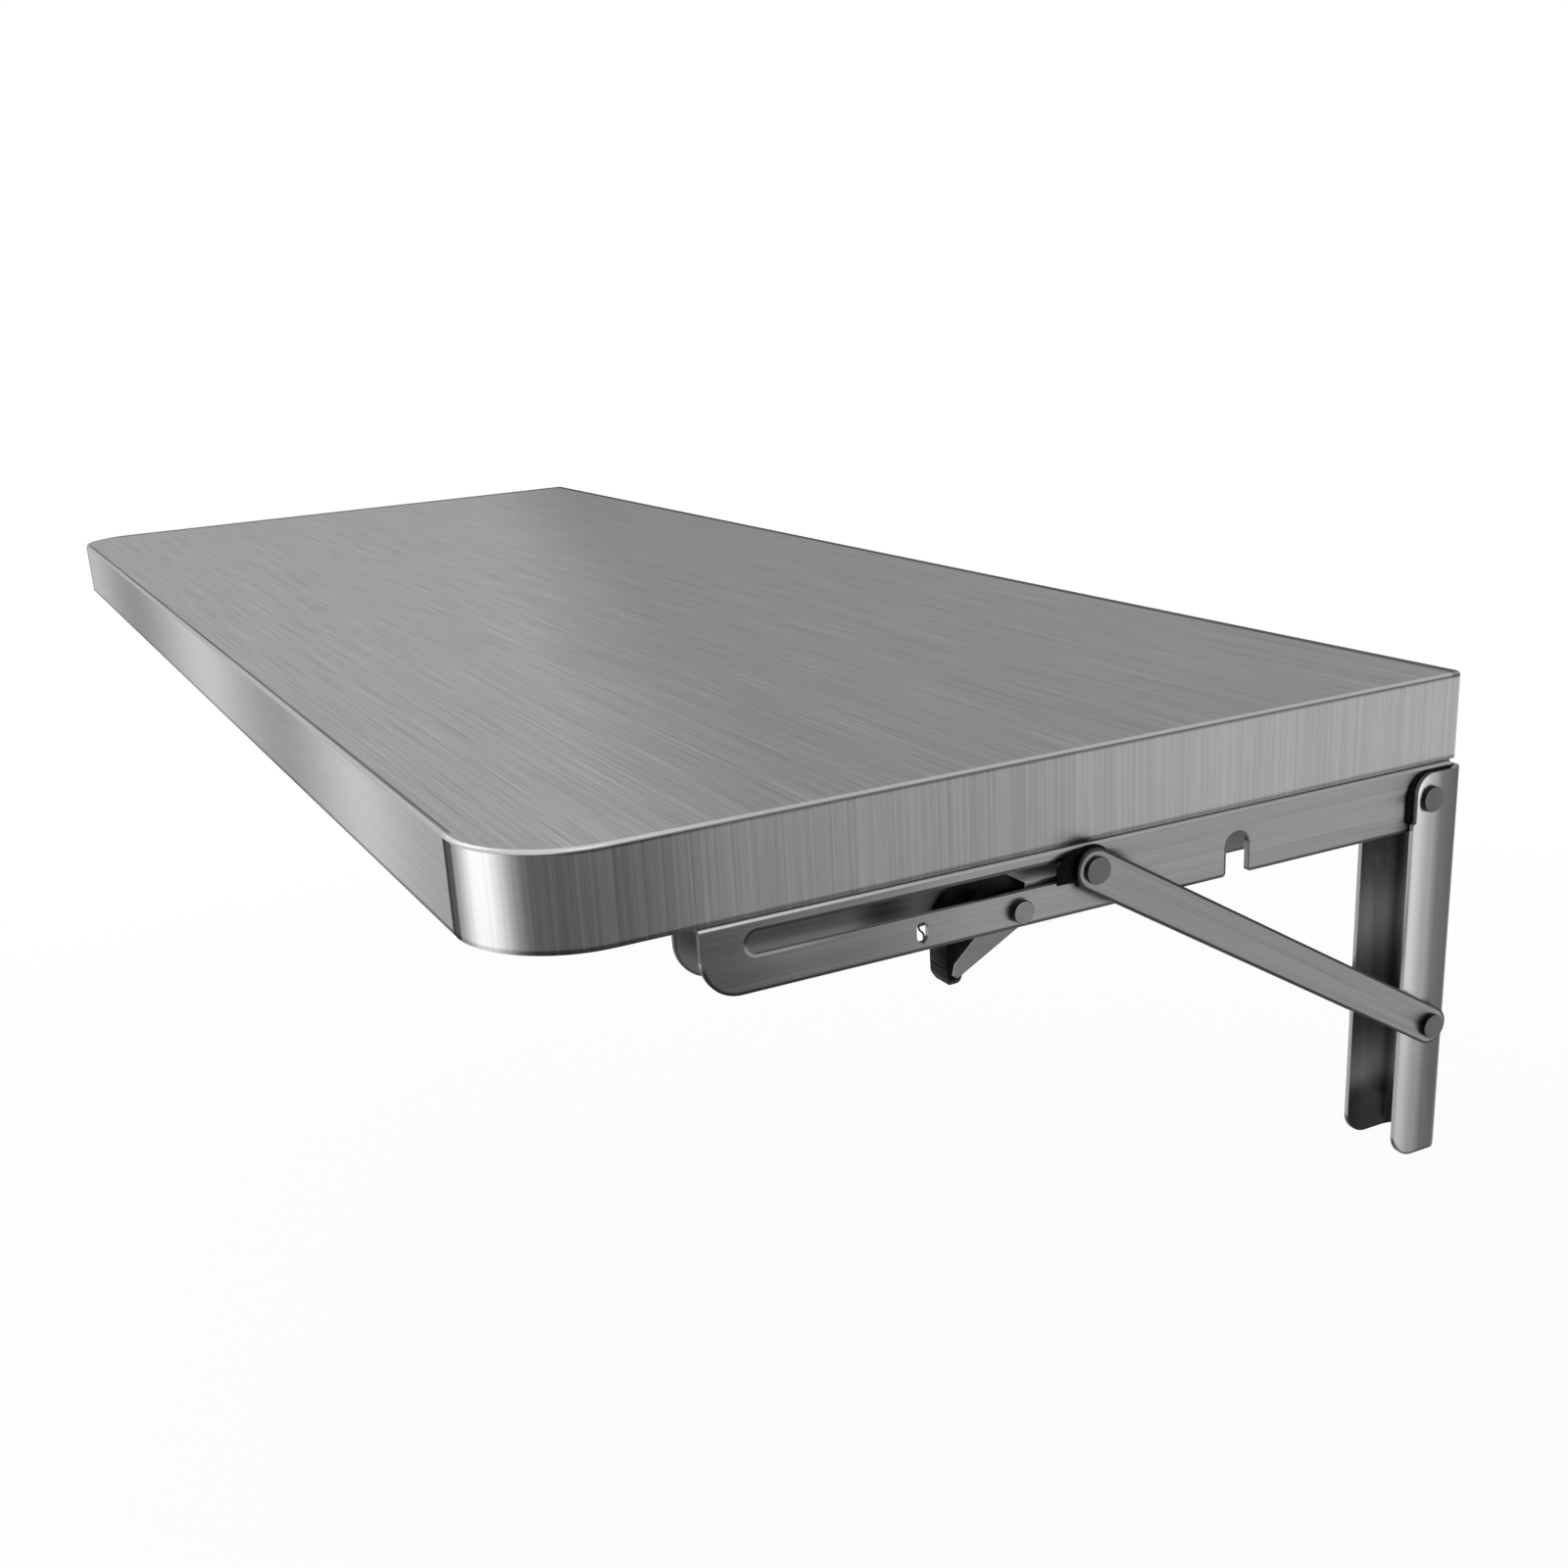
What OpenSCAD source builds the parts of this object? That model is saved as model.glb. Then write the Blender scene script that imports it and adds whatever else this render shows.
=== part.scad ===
// Wall-hung folding table of stainless steel: a tabletop on two locking folding brackets.
// X runs along the wall, Y points into the wall, Z is up. The origin is the centre of the
// rectangle of four wall screw holes, on the wall plane. The table is drawn open.

/* [Tabletop] */
// Length of the tabletop along the wall
table_w = 1000; // [600:10:1400]
// Depth of the tabletop from its back edge to its front edge
table_d = 401.5; // [360:0.5:600]
// Thickness of the tabletop
table_t = 35; // [25:1:50]
// Radius of the two front corners
corner_r = 40; // [15:1:90]
// Radius of the two back corners
back_corner_r = 3; // [2:0.5:8]
// Thickness of the top sheet, which is also the radius of its rounded rim
top_sheet_t = 1.5; // [1:0.1:3]
// Thickness of the edge bands and of the underside panel
band_t = 1; // [0.6:0.1:2]
// Width of the lip that each edge band turns in under the tabletop
lip_w = 8; // [4:0.5:8.2]
// Width of the seam between the fascia and a side band
seam_gap = 0.8; // [0.4:0.1:1.5]
// Gap between the tabletop's back edge and the wall
wall_gap = 1.5; // [1:0.5:5]

/* [Wall plate] */
// Depth of the wall plate's flanges from the wall
plate_d = 26; // [25.5:0.5:29]
// Height of the ears above the main pivot axis
plate_rise = 10.5; // [9:0.5:11.5]
// Length of the wall plate below the main pivot axis
plate_drop = 156.8; // [150:0.2:200]
// Outside radius of the wall plate's two long bends
plate_bend_r = 5.5; // [4:0.25:5.75]
// Height of the gap between the web's lower end and the flanges' lower end
web_short = 10; // [4:0.5:14]
// Front of the ears ahead of the main pivot axis
ear_reach = 7; // [6:0.25:8]
// Drop from the main pivot axis to the step below the ears
ear_drop = 9.2; // [8:0.2:14]
// Radius of the ears' front corner
ear_r = 8; // [4:0.5:9]
// Radius of the flanges' front lower corner
plate_nose_r = 10.5; // [5:0.5:12.5]
// Radius of the flanges' back lower corner
plate_heel_r = 5; // [2:0.5:8]
// Radius of a wall screw hole
wall_hole_r = 3.2; // [2:0.1:3.5]
// Distance between the two wall screw holes of a plate
wall_hole_pitch = 90; // [70:1:100]
// Drop from the main pivot axis to the upper wall screw hole
wall_hole_drop = 37; // [30:1:45]

/* [Arm] */
// Length of the arm from the main pivot axis to its front end
arm_l = 317; // [314:0.5:340]
// Overall width of the arm
arm_w = 23; // [22.5:0.25:26]
// Overall height of the arm
arm_h = 26.2; // [25.8:0.1:28]
// Thickness of the steel of the arm and the wall plate
steel_t = 2; // [1.5:0.1:2.2]
// Outside radius of the arm's two long bends
arm_bend_r = 2.4; // [2.3:0.1:4]
// Radius of the arm's front lower corner
arm_nose_r = 14; // [6:0.5:20]
// Radius of the arm's back lower corner
arm_tail_r = 12.5; // [10:0.5:13]
// Length of the arm behind the main pivot axis
arm_tail_l = 12.5; // [10:0.5:13.5]
// Width of the long slot
slot_w = 8; // [7:0.1:9]
// Width of the notch that takes the lower brace pin when the table is down
notch_w = 10.4; // [9.8:0.1:12]
// Height of the notch above the main pivot axis
notch_rise = 3.6; // [2:0.2:5]
// Distance from the seat of the lower brace pin back to the notch's middle
notch_lead = 2.3; // [1:0.1:2.4]
// Rounding of the notch's mouth
notch_mouth_r = 1.5; // [0.5:0.1:2.5]
// Drop of the main pivot axis below the tabletop
pivot_drop = 13.5; // [13:0.1:14.5]
// Distance of the main pivot axis from the wall
pivot_depth = 17.5; // [17:0.1:19]

/* [Brace] */
// Distance along the arm from the main pivot axis to the brace's top pin, table open
brace_reach = 164; // [155:0.5:165]
// Height of the slot's middle line above the main pivot axis
slot_rise = 4.3; // [3.8:0.1:4.7]
// Drop from the main pivot axis to the lower brace pin
brace_drop = 97.6; // [92:0.2:100]
// Distance of the lower brace pin behind the main pivot axis
brace_back = 5.1; // [4:0.1:6]
// Width of a brace bar
brace_w = 15.8; // [13:0.2:17]
// Thickness of a brace bar
brace_t = 2.5; // [2:0.1:4]

/* [Pins] */
// Radius of the main pivot pin
pivot_pin_r = 4; // [3:0.1:4.5]
// Radius of the lower brace pin
lower_pin_r = 2.5; // [2:0.1:2.6]
// Radius of the heads of the pivot pin, lower pin and brace rivets
head_r = 5.2; // [4.6:0.1:6]
// Height of those heads
head_h = 2; // [1:0.1:4]
// Bevel round a pin head
head_bevel = 0.4; // [0.2:0.1:0.8]
// Radius of the slider shaft
shaft_r = 3; // [2.6:0.1:3.1]
// Radius of the neck in the middle of the slider shaft
neck_r = 2.25; // [1.5:0.05:2.5]
// Wall of a bush where it passes through the slot
bush_wall = 0.75; // [0.5:0.05:0.85]
// Radius of a bush's outer disc
bush_disc_r = 8.7; // [8.1:0.1:9.5]
// Thickness of a bush's outer disc
bush_disc_t = 0.8; // [0.5:0.1:0.9]
// Drop of the flat on a bush's outer disc below the slot's middle line
bush_flat_drop = 6; // [5.6:0.1:6.6]
// Radius of a bush's inner collar
bush_collar_r = 4.8; // [4.4:0.1:4.9]
// Thickness of a bush's inner collar
bush_collar_t = 1.5; // [0.8:0.1:1.6]

/* [Release lever] */
// Distance along the arm from the brace's top pin to the lever pin, table open
lever_ahead = 28.5; // [26:0.5:36]
// Drop of the lever pin below the main pivot axis
lever_pin_drop = 6.8; // [6.5:0.1:7.2]
// Radius of the lever pin
lever_pin_r = 2.5; // [1.5:0.1:3]
// Radius of the lever pin's heads
lever_head_r = 4.3; // [3.6:0.1:4.6]
// Height of the lever pin's heads
lever_head_h = 2.4; // [0.8:0.1:2.6]
// Width of the lever
lever_w = 14.4; // [12:0.1:14.5]
// Thickness of the lever's steel
lever_t = 1.5; // [1:0.1:2]
// Reach of the lever's handle beyond the lever pin
handle_reach = 26.4; // [22:0.2:28]
// Drop of the lever's handle below the lever pin
handle_drop = 21.6; // [16:0.2:24]
// Rounding of the grip's two front corners
grip_side_r = 4; // [1:0.5:6]
// Rounding of the grip's lower end, seen from the front
grip_end_r = 6; // [1:0.5:6.5]
// Radius of a ridge on the grip
ridge_r = 0.6; // [0.4:0.1:0.8]
// Number of ridges on the grip
ridge_count = 5; // [3:1:7]
// Least gap between the lever's nose and the slider shaft's neck
latch_gap = 0.4; // [0.3:0.05:0.8]

/* [Return spring] */
// Radius of the spring's wire
wire_r = 0.35; // [0.25:0.01:0.4]
// Mean radius of the spring's curls
curl_r = 2.1; // [1.5:0.1:2.2]
// Distance from curl to curl
curl_pitch = 1.4; // [1.3:0.05:1.5]
// Number of curls
curl_count = 7; // [4:1:7]
// Distance from the lever pin to the hook hole in the arm
hook_reach = 40.7; // [40:0.1:44]
// Length of the hook hole
hook_hole_l = 7.5; // [5:0.5:8]
// Width of the hook hole
hook_hole_w = 4.6; // [3:0.2:5]

/* [Screws] */
// Thread radius of an arm screw
screw_r = 2.4; // [1.5:0.1:2.45]
// Length of an arm screw below its head
screw_l = 18; // [12:1:22]
// Radius of an arm screw's head
screw_head_r = 4.5; // [3.5:0.1:5]
// Height of an arm screw's head
screw_head_h = 2.4; // [1.5:0.1:2.6]
// Outer radius of a threaded insert
insert_r = 4; // [3.4:0.1:5]
// Length of a threaded insert
insert_l = 14; // [8:1:18]

/* [Fits] */
// Gap between parts that turn past each other
turn_gap = 0.25; // [0.2:0.01:0.3]
// Reach of a friction liner ahead of the main pivot axis
liner_reach = 10.4; // [9:0.2:11]
// Thickness of a friction liner
liner_t = 0.45; // [0.3:0.01:0.5]
// Radial clearance of a pin in its hole
pin_clear = 0.05; // [0.03:0.01:0.08]
// Clearance round fixed pieces such as the core board
fit_clear = 0.3; // [0.2:0.05:0.4]

/* [Hidden] */
$fn = 64;

// Shares
// Least inner radius of the back corners
least_corner_share = 0.1;
// Least radius of a back corner of the rim, of the rim radius
rim_corner_share = 1.3;
// Core left above the insert bores
bore_floor_share = 0.4;
// A corner that stays sharp, of the steel thickness
sharp_share = 0.01;
// Rounding of the step below the ears
ear_step_share = 0.5;
// How far the liners stand above the ears, of the turning gap
liner_grow_share = 3.2;
// Height of the hook hole, of the height of the lever above its pin
hook_rise_share = 0.1;
// Width of a screw head socket
socket_share = 0.5;
// Depth of a screw head socket
socket_depth_share = 0.6;
// Lower end of the nose, of the height of the lever above its pin
nose_low_share = 0.5;
// Height of the spring, of the height of the lever above its pin
spring_rise_share = 0.3;
// Where the spring leaves the grip, of the reach of the handle
spring_start_share = 0.96;
// Depth of the bore for the spring, of the reach of the handle
spring_bore_share = 0.2;
// Radius of the bore for the spring, of the radius of the wire
spring_bore_r_share = 2;
// Part of the bore that the wire fills
bore_leg_share = 0.8;
// Where the legs bend, of the radius of the curls
leg_bend_share = 0.5;
// Places of the arm screws along the arm, as shares of its length
screw_places_share = [0.095, 0.37, 0.8, 0.95];

// Heights and depths of the main lines, from the origin
pivot_z = wall_hole_drop + wall_hole_pitch / 2;
pivot_y = -pivot_depth;
under_z = pivot_z + pivot_drop;
top_z = under_z + table_t;
back_y = -wall_gap;
front_y = back_y - table_d;
half_w = table_w / 2;
bracket_x = half_w - arm_w / 2;

// Widths of the layers of a bracket, from its middle plane outwards
arm_half = arm_w / 2;
arm_inner_half = arm_half - steel_t;
plate_inner_half = arm_half + turn_gap + liner_t;
plate_half = plate_inner_half + steel_t;
brace_in = plate_half + turn_gap;
brace_out = brace_in + brace_t;
lever_half = lever_w / 2;

// The folding linkage: the brace's length follows from the open pose
brace_dy = brace_reach + brace_back;
brace_dz = slot_rise + brace_drop;
brace_l = sqrt(pow(brace_dy, 2) + pow(brace_dz, 2));
brace_angle = atan2(brace_dz, brace_dy);
brace_down_dy = slot_rise + brace_back;
slide_down = brace_drop + sqrt(pow(brace_l, 2) - pow(brace_down_dy, 2));
brace_turn = brace_angle + acos(brace_down_dy / brace_l);
slide_travel = slide_down - brace_reach;
echo("brace turn over the fold, degrees", brace_turn);
echo("slider travel over the fold", slide_travel);
echo("brace length", brace_l);

// Bushes in the slot
hub_r = shaft_r + pin_clear + bush_wall;
bush_disc_x = brace_in - turn_gap - bush_disc_t;
bush_collar_x = arm_inner_half - fit_clear;
slot_end_clear = 2 * bush_wall;

// Place of the lever pin, and the nose's reach and the lever's height from there
lever_pin_reach = brace_reach + lever_ahead;
nose_reach = lever_ahead - neck_r - latch_gap;
lever_top = slot_rise - neck_r - latch_gap + lever_pin_drop;

// Depth of the bores for the inserts, from the tabletop's underside
insert_bore_l = table_t - top_sheet_t - (table_t - top_sheet_t - band_t - insert_l) * bore_floor_share;

// One overrun for every cut
cut = 1;

// Tone of the plastic pieces
black_tone = [0.06, 0.06, 0.07];

// A rectangle from (x0, y0) to (x1, y1) with corner radii in the order
// low-low, high-low, high-high, low-high
module round_rect(x0, y0, x1, y1, r) {
    polygon([
        [x0 + r[0], y0], [x1 - r[1], y0], [x1, y0 + r[1]], [x1, y1 - r[2]],
        [x1 - r[2], y1], [x0 + r[3], y1], [x0, y1 - r[3]], [x0, y0 + r[0]]
    ]);
    translate([x0 + r[0], y0 + r[0]]) circle(r[0]);
    translate([x1 - r[1], y0 + r[1]]) circle(r[1]);
    translate([x1 - r[2], y1 - r[2]]) circle(r[2]);
    translate([x0 + r[3], y1 - r[3]]) circle(r[3]);
}

// Extrudes an outline drawn in (y, z) along X, from x0 over length l
module along_x(x0, l) {
    translate([x0, 0, 0]) rotate([90, 0, 90]) linear_extrude(l) children();
}

// Extrudes an outline drawn in (x, z) towards -Y, from y0 over length l
module along_y(y0, l) {
    translate([0, y0, 0]) rotate([90, 0, 0]) linear_extrude(l) children();
}

// A cylinder along X, centred on the bracket's middle plane, at (y, z)
module cross_rod(r, half, y, z) {
    translate([-half, y, z]) rotate([0, 90, 0]) cylinder(r = r, h = 2 * half);
}

// The same piece on both outer sides of the bracket
module both_sides() {
    children();
    mirror([1, 0, 0]) children();
}

// A pin head with a bevelled rim, standing out along X from x0
module pin_head(r, h, x0, y, z) {
    translate([x0, y, z]) rotate([0, 90, 0]) union() {
        cylinder(r = r, h = h - head_bevel);
        translate([0, 0, h - head_bevel]) cylinder(r1 = r, r2 = r - head_bevel, h = head_bevel);
    }
}

// Puts a bracket piece at the right end, or mirrored at the left end
module right_bracket() {
    translate([bracket_x, pivot_y, pivot_z]) children();
}
module left_bracket() {
    mirror([1, 0, 0]) right_bracket() children();
}

// Tabletop

// The tabletop's outline seen from above, drawn in by d
module table_outline(d) {
    front_r = corner_r - d;
    back_r = max(back_corner_r - d, back_corner_r * least_corner_share);
    round_rect(-half_w + d, front_y + d, half_w - d, back_y - d, [front_r, front_r, back_r, back_r]);
}

// A quarter round for the rim of the top sheet
module rim_quarter() {
    intersection() {
        circle(top_sheet_t);
        square(top_sheet_t);
    }
}

// A length of rim along X or Y
module rim_side(x, y, l, turn) {
    translate([x, y, top_z - top_sheet_t]) rotate([0, 0, turn]) rotate([90, 0, 0])
        linear_extrude(l) rim_quarter();
}

// The rim round a corner
module rim_corner(x, y, r, turn) {
    translate([x, y, top_z - top_sheet_t]) rotate([0, 0, turn])
        rotate_extrude(angle = 90) translate([r - top_sheet_t, 0]) rim_quarter();
}

module top_sheet() {
    inner_back_r = max(back_corner_r, top_sheet_t * rim_corner_share);
    straight_d = table_d - corner_r - inner_back_r;
    color("silver") union() {
        translate([0, 0, top_z - top_sheet_t]) linear_extrude(top_sheet_t)
            round_rect(-half_w + top_sheet_t, front_y + top_sheet_t,
                half_w - top_sheet_t, back_y - top_sheet_t,
                [corner_r - top_sheet_t, corner_r - top_sheet_t,
                 inner_back_r - top_sheet_t, inner_back_r - top_sheet_t]);
        rim_side(half_w - top_sheet_t, back_y - inner_back_r, straight_d, 0);
        rim_side(-half_w + top_sheet_t, front_y + corner_r, straight_d, 180);
        rim_side(half_w - corner_r, front_y + top_sheet_t, table_w - 2 * corner_r, -90);
        rim_side(-half_w + inner_back_r, back_y - top_sheet_t, table_w - 2 * inner_back_r, 90);
        rim_corner(half_w - corner_r, front_y + corner_r, corner_r, -90);
        rim_corner(-half_w + corner_r, front_y + corner_r, corner_r, 180);
        rim_corner(half_w - inner_back_r, back_y - inner_back_r, inner_back_r, 0);
        rim_corner(-half_w + inner_back_r, back_y - inner_back_r, inner_back_r, 90);
    }
}

// The wall of all edge bands with its turned-in lip, before it is parted
module band_ring() {
    difference() {
        translate([0, 0, under_z]) linear_extrude(table_t - top_sheet_t) table_outline(0);
        translate([0, 0, under_z + band_t]) linear_extrude(table_t) table_outline(band_t);
        translate([0, 0, under_z - cut]) linear_extrude(table_t) table_outline(lip_w);
    }
}

// A block over the whole height of the tabletop
module table_block(x0, y0, x1, y1) {
    translate([x0, y0, under_z - cut]) cube([x1 - x0, y1 - y0, table_t + 2 * cut]);
}

seam_x = half_w - corner_r;
back_seam_x = half_w - lip_w - band_t;

module front_fascia() {
    color("silver") intersection() {
        band_ring();
        table_block(-seam_x + seam_gap, front_y - cut, seam_x - seam_gap, front_y + lip_w + cut);
    }
}

module side_band_right() {
    color("silver") difference() {
        intersection() {
            band_ring();
            table_block(half_w - max(corner_r, lip_w), front_y - cut, half_w + cut, back_y + cut);
        }
        table_block(-half_w, back_y - lip_w - seam_gap, back_seam_x, back_y + cut);
    }
}

module side_band_left() {
    mirror([1, 0, 0]) side_band_right();
}

module back_band() {
    color("silver") intersection() {
        band_ring();
        table_block(-back_seam_x + seam_gap, back_y - lip_w - cut, back_seam_x - seam_gap, back_y + cut);
    }
}

module core_board() {
    color("burlywood") difference() {
        translate([0, 0, under_z + band_t]) linear_extrude(table_t - top_sheet_t - band_t)
            table_outline(band_t + fit_clear);
        arm_screw_places() translate([0, 0, -cut])
            cylinder(r = insert_r + pin_clear, h = insert_bore_l + cut);
    }
}

module underside_panel() {
    color("gainsboro") difference() {
        translate([0, 0, under_z]) linear_extrude(band_t) table_outline(lip_w + fit_clear);
        arm_screw_places() translate([0, 0, -cut]) cylinder(r = screw_r + fit_clear, h = band_t + 2 * cut);
    }
}

module screw_inserts() {
    color("darkgoldenrod") arm_screw_places() difference() {
        translate([0, 0, band_t]) cylinder(r = insert_r, h = insert_l);
        cylinder(r = screw_r + pin_clear, h = insert_l + band_t + cut);
    }
}

// Each arm screw's axis at the tabletop's underside
module arm_screw_places() {
    for (side = [-1, 1])
        for (s = screw_places_share)
            translate([side * bracket_x, pivot_y - s * arm_l, under_z]) children();
}

// Wall plate, drawn with the main pivot axis at the origin

// A channel's cross section with its closed side at y = 0 and its flanges towards -Y
module channel_section(half, depth, t, r) {
    difference() {
        round_rect(-half, -depth, half, 0, [t * sharp_share, t * sharp_share, r, r]);
        round_rect(-half + t, -depth - cut, half - t, -t, [t * sharp_share, t * sharp_share, r - t, r - t]);
    }
}

plate_front_y = pivot_depth - plate_d;

module flange_outline() {
    round_rect(plate_front_y, -plate_drop, pivot_depth, -ear_drop,
        [plate_nose_r, plate_heel_r, steel_t * sharp_share, steel_t * ear_step_share]);
    round_rect(-ear_reach, -ear_drop - ear_r, pivot_depth, plate_rise,
        [steel_t * sharp_share, steel_t * sharp_share, steel_t * sharp_share, ear_r]);
}

module wall_plate() {
    color("silver") difference() {
        intersection() {
            translate([0, pivot_depth, -plate_drop]) linear_extrude(plate_drop + plate_rise)
                channel_section(plate_half, plate_d, steel_t, plate_bend_r);
            along_x(-plate_half - cut, 2 * (plate_half + cut)) flange_outline();
        }
        cross_rod(pivot_pin_r + pin_clear, plate_half + cut, 0, 0);
        cross_rod(lower_pin_r + pin_clear, plate_half + cut, brace_back, -brace_drop);
        for (drop = [wall_hole_drop, wall_hole_drop + wall_hole_pitch])
            translate([0, pivot_depth + cut, -drop]) rotate([90, 0, 0])
                cylinder(r = wall_hole_r, h = steel_t + 2 * cut);
        translate([-plate_half + plate_bend_r, pivot_depth - plate_bend_r, -plate_drop - cut])
            cube([2 * (plate_half - plate_bend_r), plate_bend_r + cut, web_short + cut]);
    }
}

// Friction liners, a little larger than the ears
module friction_liners() {
    grow = turn_gap * liner_grow_share;
    color(black_tone) both_sides() along_x(plate_inner_half - liner_t, liner_t) difference() {
        round_rect(-liner_reach, -ear_drop, pivot_depth - plate_bend_r, plate_rise + grow,
            [steel_t * sharp_share, steel_t * sharp_share, steel_t * sharp_share, liner_reach]);
        circle(pivot_pin_r + pin_clear);
    }
}

module pivot_pin() {
    color("gray") union() {
        cross_rod(pivot_pin_r, plate_half, 0, 0);
        both_sides() pin_head(head_r, head_h, plate_half, 0, 0);
    }
}

module lower_pin() {
    color("gray") union() {
        cross_rod(lower_pin_r, brace_out + turn_gap, brace_back, -brace_drop);
        both_sides() pin_head(head_r, head_h - turn_gap, brace_out + turn_gap, brace_back, -brace_drop);
    }
}

// Arm, drawn with the main pivot axis at the origin
slot_y0 = -slide_down - slot_end_clear;
slot_y1 = -brace_reach + slot_end_clear;
notch_y = -brace_drop + notch_lead;

module slot_outline() {
    translate([slot_y0, slot_rise - slot_w / 2]) square([slot_y1 - slot_y0, slot_w]);
    translate([slot_y0, slot_rise]) circle(slot_w / 2);
    translate([slot_y1, slot_rise]) circle(slot_w / 2);
}

module notch_outline() {
    low = pivot_drop - arm_h;
    translate([notch_y - notch_w / 2, low - cut])
        square([notch_w, notch_rise - notch_w / 2 - low + cut]);
    translate([notch_y, notch_rise - notch_w / 2]) circle(notch_w / 2);
    difference() {
        translate([notch_y - notch_w / 2 - notch_mouth_r, low - cut])
            square([notch_w + 2 * notch_mouth_r, notch_mouth_r + cut]);
        for (side = [-1, 1])
            translate([notch_y + side * (notch_w / 2 + notch_mouth_r), low + notch_mouth_r])
                circle(notch_mouth_r);
    }
}

module arm() {
    low = pivot_drop - arm_h;
    color("silver") difference() {
        intersection() {
            along_y(arm_tail_l, arm_l + arm_tail_l)
                translate([0, pivot_drop]) channel_section(arm_half, arm_h, steel_t, arm_bend_r);
            along_x(-arm_half - cut, 2 * (arm_half + cut))
                round_rect(-arm_l, low, arm_tail_l, pivot_drop,
                    [arm_nose_r, arm_tail_r, steel_t * sharp_share, steel_t * sharp_share]);
        }
        along_x(-arm_half - cut, 2 * (arm_half + cut)) slot_outline();
        along_x(-arm_half - cut, 2 * (arm_half + cut)) notch_outline();
        cross_rod(pivot_pin_r + pin_clear, arm_half + cut, 0, 0);
        cross_rod(lever_pin_r + pin_clear, arm_half + cut, -lever_pin_reach, -lever_pin_drop);
        along_x(arm_inner_half - cut, steel_t + 2 * cut) hook_hole_outline();
        for (s = screw_places_share)
            translate([0, -s * arm_l, pivot_drop - steel_t - cut])
                cylinder(r = screw_r + fit_clear, h = steel_t + 2 * cut);
    }
}

hook_y = -lever_pin_reach - hook_reach;
hook_z = -lever_pin_drop + hook_rise_share * lever_top;

module hook_hole_outline() {
    run = hook_hole_l - hook_hole_w;
    translate([hook_y - hook_hole_w / 2, hook_z - run / 2]) square([hook_hole_w, run]);
    translate([hook_y, hook_z - run / 2]) circle(hook_hole_w / 2);
    translate([hook_y, hook_z + run / 2]) circle(hook_hole_w / 2);
}

module arm_screws() {
    color("dimgray") for (s = screw_places_share)
        translate([0, -s * arm_l, pivot_drop - steel_t]) difference() {
            union() {
                cylinder(r = screw_r, h = screw_l);
                translate([0, 0, -screw_head_h]) cylinder(r = screw_head_r, h = screw_head_h);
            }
            translate([0, 0, -screw_head_h - cut]) cylinder(
                r = screw_head_r * socket_share, h = screw_head_h * socket_depth_share + cut, $fn = 6);
        }
}

// Braces, drawn with the main pivot axis at the origin
module brace_outline() {
    difference() {
        translate([brace_back, -brace_drop]) rotate(180 - brace_angle) union() {
            translate([0, -brace_w / 2]) square([brace_l, brace_w]);
            circle(brace_w / 2);
            translate([brace_l, 0]) circle(brace_w / 2);
        }
        translate([brace_back, -brace_drop]) circle(lower_pin_r + pin_clear);
        translate([-brace_reach, slot_rise]) circle(shaft_r + pin_clear);
    }
}

module brace_outer() {
    color("darkgray") along_x(brace_in, brace_t) brace_outline();
}

module brace_inner() {
    color("darkgray") along_x(-brace_out, brace_t) brace_outline();
}

module brace_rivets() {
    color("gray") both_sides() union() {
        along_x(brace_in, brace_t) translate([-brace_reach, slot_rise]) circle(shaft_r);
        pin_head(head_r, head_h, brace_out, -brace_reach, slot_rise);
    }
}

// Slider
module slider_shaft() {
    neck_half = bush_collar_x - bush_collar_t;
    color("gray") union() {
        cross_rod(neck_r, neck_half, -brace_reach, slot_rise);
        both_sides() along_x(neck_half, brace_in - turn_gap - neck_half)
            translate([-brace_reach, slot_rise]) circle(shaft_r);
    }
}

// Outline of a bush's outer disc in (y, z), with its flat and its shoe ahead, as shares of
// the disc's radius
shoe_shares = [
    [0, 1], [0, -0.46], [-1.7, -0.46], [-1.7, 0.23], [-1.45, 0.53], [-1.06, 0.76], [-0.57, 0.94],
    [-0.23, 1.01]
];

module bush_disc_outline() {
    intersection() {
        circle(bush_disc_r);
        translate([-bush_disc_r, -bush_flat_drop]) square(2 * bush_disc_r);
    }
    polygon([for (p = shoe_shares) bush_disc_r * p]);
}

module slider_bushes() {
    color(black_tone) both_sides() translate([0, -brace_reach, slot_rise]) difference() {
        union() {
            along_x(bush_collar_x - bush_collar_t, bush_collar_t) circle(bush_collar_r);
            along_x(bush_collar_x, bush_disc_x - bush_collar_x) circle(hub_r);
            along_x(bush_disc_x, bush_disc_t) bush_disc_outline();
        }
        cross_rod(shaft_r + pin_clear, brace_out, 0, 0);
    }
}

// Release lever, drawn in the (y, z) plane with the lever pin at its origin
// A point of the lever: shares of the nose's or the handle's reach, and of the height
// above or the drop below the lever pin
function lever_point(p) = [
    p[0] > 0 ? -p[0] * handle_reach : -p[0] * nose_reach,
    p[1] > 0 ? p[1] * lever_top : p[1] * handle_drop
];

// Outline of the lever's steel, from the nose round the underside to the handle and back
lever_outline_shares = [
    [-1, 1], [-1, 0.5], [-0.44, -0.07], [-0.22, -0.3], [-0.09, -0.35], [0.92, -1], [1, -0.93],
    [0.966, -0.73], [0.63, -0.356], [0.42, -0.09], [0.23, 0.73], [-0.18, 0.73], [-0.18, 1]
];
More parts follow.
